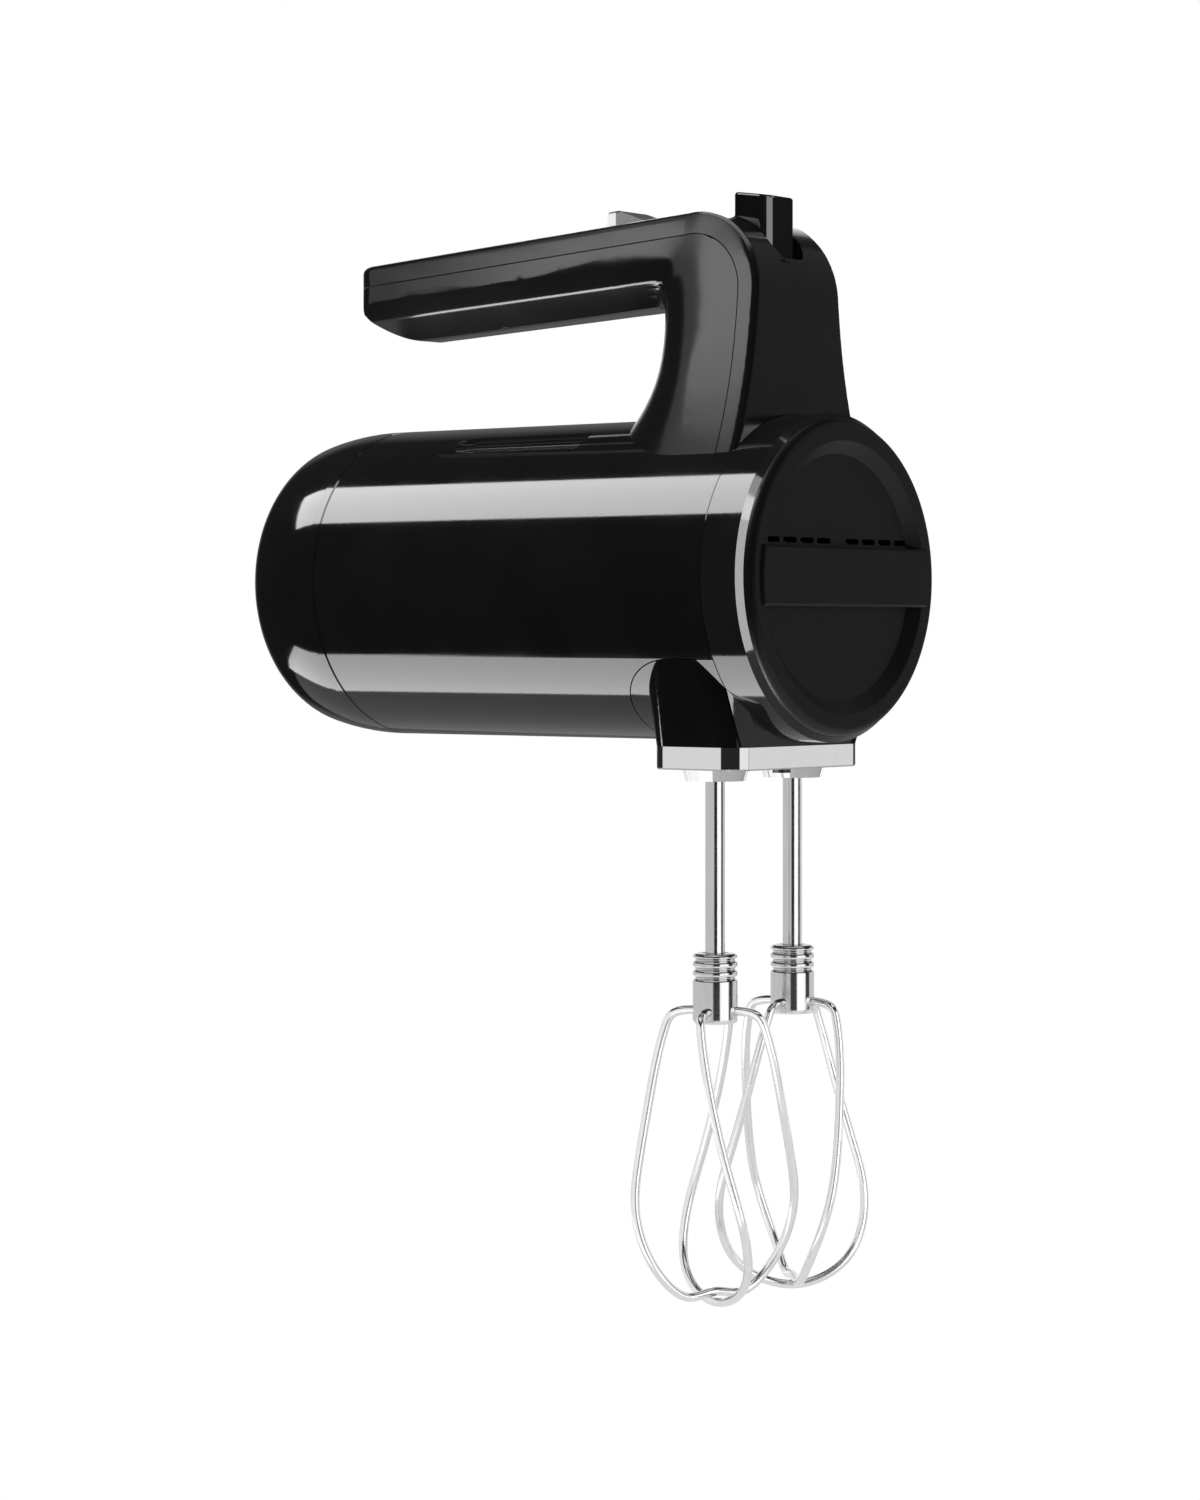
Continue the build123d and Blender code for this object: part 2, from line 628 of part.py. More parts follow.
with BuildPart() as plate_screws:
    for x, y in screw_spots:
        with Locations((x, y, PLATE_LOW_Z - SCREW_HEAD_H)):
            Cylinder(SCREW_HEAD_R, SCREW_HEAD_H, align=(Align.CENTER, Align.CENTER, Align.MIN))
            Cylinder(SCREW_R, SCREW_L, align=(Align.CENTER, Align.CENTER, Align.MIN))
write(plate_screws, "plate_screws")


def socket_collar(x, name):
    bore = SPINDLE_R + RUN
    with BuildPart() as collar:
        with BuildSketch(Plane.XZ):
            with BuildLine():
                Polyline((bore, COLLAR_TIP_Z), (COLLAR_TIP_R, COLLAR_TIP_Z), (COLLAR_R, PLATE_LOW_Z),
                         (COLLAR_SLEEVE_R, PLATE_LOW_Z), (COLLAR_SLEEVE_R, PLATE_TOP_Z),
                         (bore, PLATE_TOP_Z), close=True)
            make_face()
        revolve(axis=Axis.Z)
    with BuildPart() as placed:
        with Locations((x, BEATER_Y, 0)):
            add(collar.part)
    write(placed, name)


# Spindle: a tube that carries its worm wheel and turns the beater through two open slots at its foot.
pitch_r = MODULE * GEAR_TEETH / 2
worm_pitch_r = BEATER_X - pitch_r
lead = math.pi * MODULE * WORM_STARTS
lead_tan = lead / (2 * math.pi * worm_pitch_r)
root_r = pitch_r - DEDENDUM
tip_r = pitch_r + ADDENDUM


def spindle(x, name):
    with BuildPart() as tube:
        with BuildSketch(Plane.XY.offset(SPINDLE_LOW_Z)):
            with Locations((x, BEATER_Y)):
                Circle(SPINDLE_R)
                Circle(SHAFT_R + RUN, mode=Mode.SUBTRACT)
        extrude(amount=SPINDLE_TOP_Z - SPINDLE_LOW_Z)
        with BuildSketch(Plane.XY.offset(SPINDLE_LOW_Z)):
            with Locations((x, BEATER_Y)):
                Rectangle(WING_T + 2 * WING_GAP, 2 * (WING_R + WING_GAP))
        extrude(amount=WING_TOP_Z + WING_GAP - SPINDLE_LOW_Z, mode=Mode.SUBTRACT)
        with BuildSketch(Plane.XY.offset(CLIP_Z)):
            with Locations((x, BEATER_Y)):
                Circle(SPINDLE_R)
                Circle(CLIP_SEAT_R, mode=Mode.SUBTRACT)
        extrude(amount=CLIP_W + 2 * SLIP, mode=Mode.SUBTRACT)
    write(tube, name)


with BuildPart() as gear_tooth:
    shift = lead_tan * GEAR_FACE / 2
    with BuildSketch(Plane.XY.offset(-GEAR_FACE / 2)):
        with BuildLine():
            Polyline((root_r - SLIP, -TOOTH_ROOT - shift), (tip_r, -TOOTH_TIP - shift),
                     (tip_r, TOOTH_TIP - shift), (root_r - SLIP, TOOTH_ROOT - shift), close=True)
        make_face()
    extrude(amount=GEAR_FACE * math.sqrt(1 + lead_tan ** 2), dir=(0, lead_tan, 1))


def worm_wheel(x, first_angle, name):
    with BuildPart() as blank:
        with BuildSketch(Plane.XY.offset(-GEAR_FACE / 2)):
            Circle(root_r)
        extrude(amount=GEAR_FACE)
        with PolarLocations(0, GEAR_TEETH, start_angle=first_angle):
            add(gear_tooth.part)
        with BuildSketch(Plane.XY.offset(FRAME_LOW_Z + FRAME_T + HUB_GAP)):
            Circle(HUB_R)
        extrude(amount=FRAME_TOP_Z - FRAME_LOW_Z - 2 * FRAME_T - 2 * HUB_GAP)
        Hole(SPINDLE_R + HUB_FIT)
    with BuildPart() as placed:
        with Locations((x, BEATER_Y, 0)):
            add(blank.part)
    write(placed, name)


def spindle_clip(x, name):
    with BuildPart() as clip:
        with BuildSketch(Plane.XY.offset(CLIP_Z + SLIP)):
            with Locations((x, BEATER_Y)):
                Circle(CLIP_SEAT_R + CLIP_T)
                Circle(CLIP_SEAT_R + HUB_FIT, mode=Mode.SUBTRACT)
                with Locations((CLIP_SEAT_R, 0)):
                    Rectangle(CLIP_SEAT_R, CLIP_SEAT_R, mode=Mode.SUBTRACT)
        extrude(amount=CLIP_W)
    write(clip, name)


half_tooth = 180.0 / GEAR_TEETH
for side, x in (("left", -BEATER_X), ("right", BEATER_X)):
    socket_collar(x, f"{side}_socket_collar")
    spindle(x, f"{side}_spindle")
    worm_wheel(x, half_tooth, f"{side}_worm_wheel")
    spindle_clip(x, f"{side}_spindle_clip")

# Worm with its helical threads, on the motor shaft.
worm_root_r = worm_pitch_r - DEDENDUM
worm_tip_r = worm_pitch_r + ADDENDUM
worm_l = WORM_TURNS * lead
with BuildPart() as thread:
    with BuildLine() as helix_line:
        Helix(pitch=lead, height=worm_l, radius=worm_pitch_r)
    with BuildSketch(Plane(origin=helix_line.line @ 0, x_dir=(1, 0, 0), z_dir=helix_line.line % 0)):
        with BuildLine():
            Polyline((worm_root_r - worm_pitch_r - SLIP, -TOOTH_ROOT),
                     (worm_tip_r - worm_pitch_r, -TOOTH_TIP), (worm_tip_r - worm_pitch_r, TOOTH_TIP),
                     (worm_root_r - worm_pitch_r - SLIP, TOOTH_ROOT),
                     close=True)
        make_face()
    sweep(is_frenet=True)
with BuildPart() as worm_blank:
    Cylinder(worm_root_r, worm_l + 2 * WORM_END, align=(Align.CENTER, Align.CENTER, Align.CENTER))
    with Locations((0, 0, -worm_l / 2)):
        with PolarLocations(0, WORM_STARTS):
            add(thread.part)
    Hole(MOTOR_SHAFT_R + HUB_FIT)
with BuildPart() as worm:
    add(across(BEATER_Y) * worm_blank.part)
write(worm, "worm")

# Gear frame: two plates and two end walls that hold the spindles, the front bush and the motor.
frame_r = spigot_r - SPIGOT_WALL - SLIP
frame_half_x = math.sqrt(frame_r ** 2 - FRAME_LOW_Z ** 2)
frame_mid_y = (FRAME_REAR_Y + FRAME_FRONT_Y) / 2
frame_depth = FRAME_REAR_Y - FRAME_FRONT_Y
frame_h = FRAME_TOP_Z - FRAME_LOW_Z
with BuildPart() as gear_frame:
    with BuildSketch(Plane.XY.offset(FRAME_LOW_Z)):
        with Locations((0, frame_mid_y)):
            Rectangle(2 * frame_half_x, frame_depth)
    extrude(amount=frame_h)
    with BuildSketch(Plane.XY.offset(FRAME_LOW_Z + FRAME_T)):
        with Locations((0, frame_mid_y)):
            Rectangle(2 * frame_half_x, frame_depth - 2 * FRAME_T)
    extrude(amount=frame_h - 2 * FRAME_T, mode=Mode.SUBTRACT)
    with BuildSketch(Plane.XY.offset(PLATE_TOP_Z)):
        with Locations(*screw_spots):
            Circle(POST_R)
    extrude(amount=FRAME_LOW_Z - PLATE_TOP_Z)
    with BuildSketch(Plane.XY.offset(PLATE_TOP_Z)):
        with Locations(*screw_spots):
            Circle(SCREW_R + SLIP)
    extrude(amount=SCREW_L, mode=Mode.SUBTRACT)
    with BuildSketch(Plane.XY.offset(FRAME_LOW_Z)):
        with Locations(*beater_spots):
            Circle(SPINDLE_R + RUN)
    extrude(amount=frame_h, mode=Mode.SUBTRACT)
    with BuildSketch(across(FRAME_REAR_Y)):
        Circle(BOSS_R + SLIP)
        with GridLocations(2 * MOTOR_SCREW_X, 0, 2, 1):
            with Locations((0, MOTOR_SCREW_Z)):
                Circle(MOTOR_SCREW_R + SLIP)
    extrude(amount=FRAME_T, mode=Mode.SUBTRACT)
    with BuildSketch(across(FRAME_FRONT_Y + FRAME_T)):
        Circle(BUSH_R + HUB_FIT)
    extrude(amount=FRAME_T, mode=Mode.SUBTRACT)
write(gear_frame, "gear_frame")

with BuildPart() as front_bush:
    with BuildSketch(across(FRAME_FRONT_Y + FRAME_T)):
        Circle(BUSH_R)
        Circle(MOTOR_SHAFT_R + RUN, mode=Mode.SUBTRACT)
    extrude(amount=BUSH_L)
write(front_bush, "front_bush")

# Motor: a steel can with two magnets, an end bell, and the rotor that carries the fan and the worm.
with BuildPart() as motor_can:
    with BuildSketch(across(MOTOR_REAR_Y)):
        Circle(MOTOR_R)
    extrude(amount=MOTOR_REAR_Y - FRAME_REAR_Y)
    with BuildSketch(across(FRAME_REAR_Y)):
        Circle(BOSS_R)
    extrude(amount=BOSS_L)
    with BuildSketch(across(MOTOR_REAR_Y)):
        Circle(MOTOR_R - MOTOR_WALL)
    extrude(amount=MOTOR_REAR_Y - FRAME_REAR_Y - MOTOR_WALL, mode=Mode.SUBTRACT)
    with BuildSketch(across(FRAME_REAR_Y + MOTOR_WALL)):
        Circle(MOTOR_SHAFT_R + RUN)
        with GridLocations(2 * MOTOR_SCREW_X, 0, 2, 1):
            with Locations((0, MOTOR_SCREW_Z)):
                Circle(MOTOR_SCREW_R + HUB_FIT)
    extrude(amount=MOTOR_WALL + BOSS_L, mode=Mode.SUBTRACT)
write(motor_can, "motor_can")

with BuildPart() as motor_screws:
    for x in (-MOTOR_SCREW_X, MOTOR_SCREW_X):
        with BuildSketch(across(FRAME_REAR_Y + MOTOR_WALL)):
            with Locations((x, MOTOR_SCREW_Z)):
                Circle(MOTOR_SCREW_R)
        extrude(amount=MOTOR_WALL + FRAME_T)
        with BuildSketch(across(FRAME_REAR_Y - FRAME_T)):
            with Locations((x, MOTOR_SCREW_Z)):
                Circle(MOTOR_SCREW_HEAD_R)
        extrude(amount=MOTOR_SCREW_HEAD_H)
write(motor_screws, "motor_screws")

with BuildPart() as motor_bell:
    with BuildSketch(across(MOTOR_REAR_Y + BELL_T)):
        Circle(MOTOR_R)
        Circle(MOTOR_SHAFT_R + RUN, mode=Mode.SUBTRACT)
    extrude(amount=BELL_T)
write(motor_bell, "motor_bell")

motor_mid_y = (MOTOR_REAR_Y + FRAME_REAR_Y) / 2
with BuildPart() as motor_magnets:
    with BuildSketch(across(motor_mid_y + MAGNET_L / 2)):
        Circle(MOTOR_R - MOTOR_WALL - HUB_FIT)
        Circle(MOTOR_R - MOTOR_WALL - MAGNET_T, mode=Mode.SUBTRACT)
        for turn in (90, 270):
            with Locations(Location((0, 0, 0), turn)):
                with Locations((MOTOR_R, 0)):
                    magnet_gap = 2 * MOTOR_R * math.cos(math.radians(MAGNET_ARC / 2))
                    Rectangle(2 * MOTOR_R, magnet_gap, mode=Mode.SUBTRACT)
    extrude(amount=MAGNET_L)
write(motor_magnets, "motor_magnets")

with BuildPart() as armature_core:
    with BuildSketch(across(motor_mid_y + ARMATURE_L / 2)):
        Circle(ARMATURE_R)
        with PolarLocations(ARMATURE_R, ARMATURE_POLES):
            Rectangle(ARMATURE_R, POLE_SLOT, mode=Mode.SUBTRACT)
        Circle(MOTOR_SHAFT_R + HUB_FIT, mode=Mode.SUBTRACT)
    extrude(amount=ARMATURE_L)
write(armature_core, "armature_core")

with BuildPart() as armature_coils:
    for y in (motor_mid_y + ARMATURE_L / 2 + COIL_L, motor_mid_y - ARMATURE_L / 2):
        with BuildSketch(across(y)):
            Circle(COIL_R)
            Circle(MOTOR_SHAFT_R + SLIP, mode=Mode.SUBTRACT)
        extrude(amount=COIL_L)
    fillet(armature_coils.edges().filter_by(GeomType.CIRCLE).group_by(SortBy.LENGTH)[-1], COIL_L / 3)
write(armature_coils, "armature_coils")

with BuildPart() as commutator:
    with BuildSketch(across(motor_mid_y + ARMATURE_L / 2 + COIL_L + COMMUTATOR_L)):
        Circle(COMMUTATOR_R)
        Circle(MOTOR_SHAFT_R + HUB_FIT, mode=Mode.SUBTRACT)
    extrude(amount=COMMUTATOR_L)
write(commutator, "commutator")

with BuildPart() as motor_shaft:
    with BuildSketch(across(FAN_REAR_Y)):
        Circle(MOTOR_SHAFT_R)
    extrude(amount=FAN_REAR_Y - FRAME_FRONT_Y + BUSH_L - FRAME_T)
write(motor_shaft, "motor_shaft")

with BuildPart() as cooling_fan:
    with BuildSketch(across(FAN_REAR_Y)):
        Circle(FAN_R)
    extrude(amount=BLADE_T)
    with BuildSketch(across(FAN_REAR_Y)):
        with PolarLocations((FAN_R + FAN_HUB_R) / 2 - BLADE_T, FAN_BLADES):
            Rectangle(FAN_R - FAN_HUB_R, BLADE_T)
        Circle(FAN_HUB_R)
    extrude(amount=FAN_T)
    with BuildSketch(across(FAN_REAR_Y)):
        Circle(MOTOR_SHAFT_R + HUB_FIT)
    extrude(amount=FAN_T, mode=Mode.SUBTRACT)
write(cooling_fan, "cooling_fan")

with BuildPart() as motor_mounts:
    for y in (MOTOR_REAR_Y - MOUNT_INSET, FRAME_REAR_Y + MOUNT_INSET + MOUNT_T):
        with BuildSketch(across(y)):
            Circle(BOARD_Z - SLIP)
            for turn in (30, 150, 270):
                with Locations(Location((0, 0, 0), turn)):
                    with Locations((inner_r / 2, 0)):
                        Rectangle(inner_r, MOUNT_SPOKE)
            Circle(inner_r - SLIP, mode=Mode.INTERSECT)
            Circle(MOTOR_R + HUB_FIT, mode=Mode.SUBTRACT)
        extrude(amount=MOUNT_T)
write(motor_mounts, "motor_mounts")

# Control board over the motor.
with BuildPart() as control_board:
    with BuildSketch(Plane.XY.offset(BOARD_Z)):
        with Locations((0, motor_mid_y)):
            Rectangle(2 * BOARD_HALF_X, BOARD_L)
    extrude(amount=BOARD_T)
    with BuildSketch(Plane.XY.offset(BOARD_Z + BOARD_T)):
        with Locations((-BOARD_HALF_X / 2, motor_mid_y)):
            Rectangle(CHIP, CHIP)
    extrude(amount=CHIP_T)
    with BuildSketch(Plane.XY.offset(BOARD_Z + BOARD_T)):
        with Locations((BOARD_HALF_X / 2, motor_mid_y)):
            with GridLocations(0, BOARD_L / 2, 1, 2):
                Circle(CAPACITOR_R)
    extrude(amount=CAPACITOR_L)
write(control_board, "control_board")

# Battery: cells round a spine between two end plates.
spine_r = CELL_PCR - CELL_R - SLIP
cell_front_y = CELL_REAR_Y - CELL_L
rear_plate_r = heel_r - COVER_SEAM + math.sqrt(
    (HEEL_EDGE_R - WALL) ** 2 - (HEEL_EDGE_R + CELL_REAR_Y + HOLDER_T) ** 2)
with BuildPart() as battery_holder:
    with BuildSketch(across(CELL_REAR_Y + HOLDER_T)):
        Circle(rear_plate_r)
    extrude(amount=HOLDER_T)
    with BuildSketch(across(CELL_REAR_Y)):
        Circle(spine_r)
    extrude(amount=CELL_L)
    with BuildSketch(across(cell_front_y)):
        Circle(inner_r - SLIP)
    extrude(amount=HOLDER_T)
    with BuildSketch(across(CELL_REAR_Y + HOLDER_T)):
        Circle(spine_r - SPINE_WALL)
    extrude(amount=CELL_L + 2 * HOLDER_T, mode=Mode.SUBTRACT)
write(battery_holder, "battery_holder")

with BuildPart() as battery_cells:
    with BuildSketch(across(CELL_REAR_Y)):
        with PolarLocations(CELL_PCR, CELL_COUNT, start_angle=90):
            Circle(CELL_R)
    extrude(amount=CELL_L)
write(battery_cells, "battery_cells")

with BuildPart() as charge_jack:
    with BuildSketch(across(-WALL)):
        Circle(JACK_FLANGE_R)
    extrude(amount=JACK_FLANGE_T)
    with BuildSketch(across(JACK_FACE_Y)):
        Circle(JACK_R)
    extrude(amount=JACK_L)
    with BuildSketch(across(JACK_FACE_Y)):
        Circle(JACK_HOLE_R)
        Circle(JACK_PIN_R, mode=Mode.SUBTRACT)
    extrude(amount=JACK_L - JACK_FLANGE_T, mode=Mode.SUBTRACT)
write(charge_jack, "charge_jack")

# Ejector: the button, its rod and spring, and the fork whose two pushers meet the beater shafts.
with BuildPart() as ejector_button:
    with BuildSketch(Plane.XY.offset(BUTTON_LOW_Z)):
        with Locations((0, EJECT_Y)):
            RectangleRounded(BUTTON_X, BUTTON_Y, BUTTON_R)
    extrude(amount=BUTTON_TOP_Z - BUTTON_LOW_Z)
    with BuildSketch(Plane.YZ):
        with BuildLine():
            rear = EJECT_Y + BUTTON_Y / 2
            front = EJECT_Y - BUTTON_Y / 2
            Polyline((rear, BUTTON_TOP_Z), (front, BUTTON_TOP_Z - BUTTON_DROP), (front, BUTTON_LOW_Z),
                     (rear, BUTTON_LOW_Z), close=True)
        make_face()
    extrude(amount=BUTTON_X, both=True, mode=Mode.INTERSECT)
    fillet(ejector_button.faces().sort_by(Axis.Z)[-1].edges(), BUTTON_EDGE_R)
write(ejector_button, "ejector_button")

fork_low_z = SPINDLE_TOP_Z + EJECT_TRAVEL + COVER_SEAM
with BuildPart() as ejector_rod:
    with Locations((0, EJECT_Y, fork_low_z + FORK_T)):
        Cylinder(EJECT_ROD_R, BUTTON_LOW_Z - fork_low_z - FORK_T,
                 align=(Align.CENTER, Align.CENTER, Align.MIN))
write(ejector_rod, "ejector_rod")

with BuildPart() as ejector_fork:
    with BuildSketch(Plane.XY.offset(fork_low_z)):
        with Locations((0, EJECT_Y)):
            SlotCenterToCenter(2 * BEATER_X, 2 * (PUSHER_R + FORK_MARGIN))
    extrude(amount=FORK_T)
    with BuildSketch(Plane.XY.offset(SHAFT_TOP_Z + PUSHER_GAP)):
        with Locations(*beater_spots):
            Circle(PUSHER_R)
    extrude(amount=fork_low_z - SHAFT_TOP_Z - PUSHER_GAP)
write(ejector_fork, "ejector_fork")

spring_h = BUTTON_LOW_Z - SPRING_SEAT_Z - SPRING_WIRE
with BuildPart() as ejector_spring:
    with BuildLine() as coil:
        Helix(pitch=spring_h / SPRING_TURNS, height=spring_h, radius=SPRING_R,
              center=(0, EJECT_Y, SPRING_SEAT_Z + SPRING_WIRE / 2))
    with BuildSketch(Plane(origin=coil.line @ 0, x_dir=(1, 0, 0), z_dir=coil.line % 0)):
        Rectangle(SPRING_WIRE, SPRING_WIRE - 2 * SLIP)
    sweep(is_frenet=True)
write(ejector_spring, "ejector_spring")

# Speed slider: the knob, its stem and the carriage that runs under the cover's top wall.
with BuildPart() as slider_blank:
    with BuildSketch(Plane.YZ):
        with BuildLine():
            Polyline((0, COVER_SEAM), (-KNOB_LEAN, KNOB_H), (-KNOB_L / 3, KNOB_H), (-KNOB_L, KNOB_TIP_H),
                     (-KNOB_L, COVER_SEAM), close=True)
        make_face()
    extrude(amount=KNOB_HALF_X, both=True)
    fillet(slider_blank.edges().group_by(Axis.Z)[-1], KNOB_EDGE_R)
    with BuildSketch(Plane.XY.offset(COVER_SEAM)):
        with Locations((0, -KNOB_L / 2)):
            SlotOverall(STEM_L, 2 * STEM_HALF_X, rotation=90)
    extrude(amount=-COVER_WALL - 2 * COVER_SEAM)
    with BuildSketch(Plane.XY.offset(-COVER_WALL - COVER_SEAM)):
        with Locations((0, -KNOB_L / 2)):
            Rectangle(2 * CARRIAGE_HALF_X, CARRIAGE_L)
    extrude(amount=-CARRIAGE_T)
with BuildPart() as speed_slider:
    add(slope_plane * slider_blank.part)
write(speed_slider, "speed_slider")

with BuildPart() as speed_switch:
    with BuildSketch(slope_plane.offset(-COVER_DEPTH - COVER_SEAM - SLIP)):
        with Locations((0, switch_start)):
            Rectangle(2 * SWITCH_HALF_X, SWITCH_L)
    extrude(amount=SLIP - SWITCH_H)
write(speed_switch, "speed_switch")


# Beaters: shaft, grooved ferrule and two crossed wire loops, twisted opposite ways on the two sides.
def loop_profile(low_z, centre_z):
    # Radius and height of one half of a loop, from its root in the ferrule to the axis.
    return ((WIRE_ROOT_R, WIRE_ROOT_Z), *LOOP_POINTS, (LOOP_FOOT_R, low_z), (0, centre_z))


def wire_loop(x, hand, phase, low_z, centre_z, name):
    def place(radius, height, turn):
        angle = math.radians(hand * (phase + TWIST_PER_MM * (WIRE_ROOT_Z - height)) + turn)
        return (x + radius * math.cos(angle), BEATER_Y + radius * math.sin(angle), height)

    profile = loop_profile(low_z, centre_z)
    points = [place(radius, height, 0) for radius, height in profile]
    points += [place(radius, height, 180) for radius, height in reversed(profile[:-1])]
    with BuildPart() as wire:
        with BuildLine() as path:
            Spline(*points)
        with BuildSketch(Plane(origin=path.line @ 0, z_dir=path.line % 0)):
            Circle(WIRE_R)
        sweep()
    write(wire, name)


def beater_shaft(x, name):
    with BuildPart() as shaft:
        with BuildSketch(Plane.XY.offset(FERRULE_LOW_Z)):
            with Locations((x, BEATER_Y)):
                Circle(SHAFT_R)
        extrude(amount=SHAFT_TOP_Z - FERRULE_LOW_Z)
        chamfer(shaft.edges().group_by(Axis.Z)[-1], SHAFT_R / 4)
        with BuildSketch(Plane.XY.offset(WING_LOW_Z)):
            with Locations((x, BEATER_Y)):
                Rectangle(WING_T, 2 * WING_R)
        extrude(amount=WING_TOP_Z - WING_LOW_Z)
    write(shaft, name)


def beater_ferrule(x, hand, phase, name):
    with BuildPart() as ferrule:
        with BuildSketch(Plane.XY.offset(FERRULE_LOW_Z)):
            with Locations((x, BEATER_Y)):
                Circle(FERRULE_R)
        extrude(amount=FERRULE_TOP_Z - FERRULE_LOW_Z)
        chamfer(ferrule.edges().filter_by(GeomType.CIRCLE), FERRULE_GROOVE_D)
        for i in range(FERRULE_GROOVES):
            with BuildSketch(Plane.XY.offset(FERRULE_TOP_Z - (i + 1) * FERRULE_GROOVE_PITCH)):
                with Locations((x, BEATER_Y)):
                    Circle(FERRULE_R)
                    Circle(FERRULE_R - FERRULE_GROOVE_D, mode=Mode.SUBTRACT)
            extrude(amount=FERRULE_GROOVE_D, mode=Mode.SUBTRACT)
        with BuildSketch(Plane.XY.offset(FERRULE_LOW_Z)):
            with Locations((x, BEATER_Y)):
                Circle(SHAFT_R + HUB_FIT)
        extrude(amount=FERRULE_TOP_Z - FERRULE_LOW_Z, mode=Mode.SUBTRACT)
        for turn in range(4):
            angle = math.radians(hand * phase + 90 * turn)
            out = (math.cos(angle), math.sin(angle), 0)
            with BuildSketch(Plane(origin=(x, BEATER_Y, WIRE_ROOT_Z), z_dir=out)):
                Circle(WIRE_R + WIRE_SEAT)
            extrude(amount=FERRULE_R, mode=Mode.SUBTRACT)
    write(ferrule, name)


loop_low = LOOP_LOW_Z + WIRE_R
for side, x, hand, phase in (("left", -BEATER_X, 1, TWIST_AT_ROOT),
                             ("right", BEATER_X, -1, TWIST_AT_ROOT - MESH_OFFSET - 180)):
    beater_shaft(x, f"{side}_beater_shaft")
    beater_ferrule(x, hand, phase, f"{side}_ferrule")
    wire_loop(x, hand, phase, loop_low + OUTER_DIP, loop_low, f"{side}_outer_loop")
    wire_loop(x, hand, phase + 90, loop_low + INNER_DIP, loop_low + LOOP_HUMP, f"{side}_inner_loop")
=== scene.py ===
"""Cordless hand mixer: fine shells and finishes over its packed assembly, with a plain studio."""

import json
import math

import bmesh
import bpy
import numpy as np
from bpy.props import FloatProperty, FloatVectorProperty, PointerProperty
from mathutils import Matrix, Vector

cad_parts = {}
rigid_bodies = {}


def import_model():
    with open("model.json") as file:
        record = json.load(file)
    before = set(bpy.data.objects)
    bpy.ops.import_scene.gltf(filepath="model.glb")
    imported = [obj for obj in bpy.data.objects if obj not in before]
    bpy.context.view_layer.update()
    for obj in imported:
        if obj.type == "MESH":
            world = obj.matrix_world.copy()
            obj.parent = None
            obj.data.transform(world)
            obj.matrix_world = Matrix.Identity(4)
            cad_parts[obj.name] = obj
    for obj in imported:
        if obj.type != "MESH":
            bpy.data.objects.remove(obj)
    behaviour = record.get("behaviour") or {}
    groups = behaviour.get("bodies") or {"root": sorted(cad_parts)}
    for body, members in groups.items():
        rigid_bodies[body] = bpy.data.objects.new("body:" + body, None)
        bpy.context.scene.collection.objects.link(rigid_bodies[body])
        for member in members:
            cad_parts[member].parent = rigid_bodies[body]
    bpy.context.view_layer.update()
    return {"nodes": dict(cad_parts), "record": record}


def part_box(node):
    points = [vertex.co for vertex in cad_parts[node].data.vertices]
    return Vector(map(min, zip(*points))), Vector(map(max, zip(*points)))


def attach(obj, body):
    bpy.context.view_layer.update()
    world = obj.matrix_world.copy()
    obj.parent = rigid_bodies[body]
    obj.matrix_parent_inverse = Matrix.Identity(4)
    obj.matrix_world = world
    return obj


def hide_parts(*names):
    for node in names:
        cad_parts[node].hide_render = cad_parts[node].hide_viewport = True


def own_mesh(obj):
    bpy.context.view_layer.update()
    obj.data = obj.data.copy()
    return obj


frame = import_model()

bl_info = {
    "name": "Cordless hand mixer",
    "version": (1, 0, 0),
    "blender": (4, 5, 0),
    "location": "View3D > Sidebar > Mixer",
    "description": "Fine shells, finishes and a studio for a cordless hand mixer with wire beaters",
    "category": "Object",
}

MM = 0.001
NODES = frame["nodes"]
FINISHES = {}

# Noise scales per metre, and the strength of a finish's relief
CLOUD_SCALE = 55.0
CLOUD_EDGES = (0.35, 0.7)
POLISH_SCALE = 70.0
SLIDER_GRAIN = 3000.0
PLASTIC_RELIEF = 0.2
METAL_RELIEF = 0.15

# The slider's paint: shares of its colour, its roughness, the tone of the painted highlight on its knob's rear
# end and that highlight's fade
SLIDER_TONES = (0.4, 0.46)
SLIDER_ROUGH = (0.24, 0.34)
HIGHLIGHT_TONE = (0.97, 0.97, 0.97)
END_FADE = 0.2

# The corner between grip bar and neck: where the edges of its zones begin and end, in millimetres
CORNER_FRONT = (-153, -147)
CORNER_REAR = (-127, -117)
CORNER_FOOT = (58, 65)
UNDER_SEAM = (2.5, 0.8)
FLOW_FRONT = (-166, -152)
FLOW_REAR = (-115, -70)
FLOW_FOOT = (56, 66)

# Rounds of smoothing for its shape and for its normals, and how far sideways a face looks that takes part
CORNER_ROUNDS = 15
FLOW_ROUNDS = 75
SIDE_FACING = 0.8

# How far outside its radius a face still counts as the barrel's, in millimetres
BARREL_SKIN = 0.05

# Limits of the splitting of edges
SPLIT_PASSES = 10
EDGE_SAMPLES = 13
LEAST_WEIGHT = 0.001

# A ferrule's profile, in millimetres; the first groove is given in pitches under the top
GROOVES = 3
FIRST_GROOVE = 0.72
GROOVE_WIDTH = 0.48
RINGED_LENGTH = 9
ROLL_STEPS = 6
TOP_GAP = 0.1
FINE_STEP = 0.12
COARSE_STEP = 1.0
FOOT_GAP = 0.5
FOOT_CHAMFER = 0.45

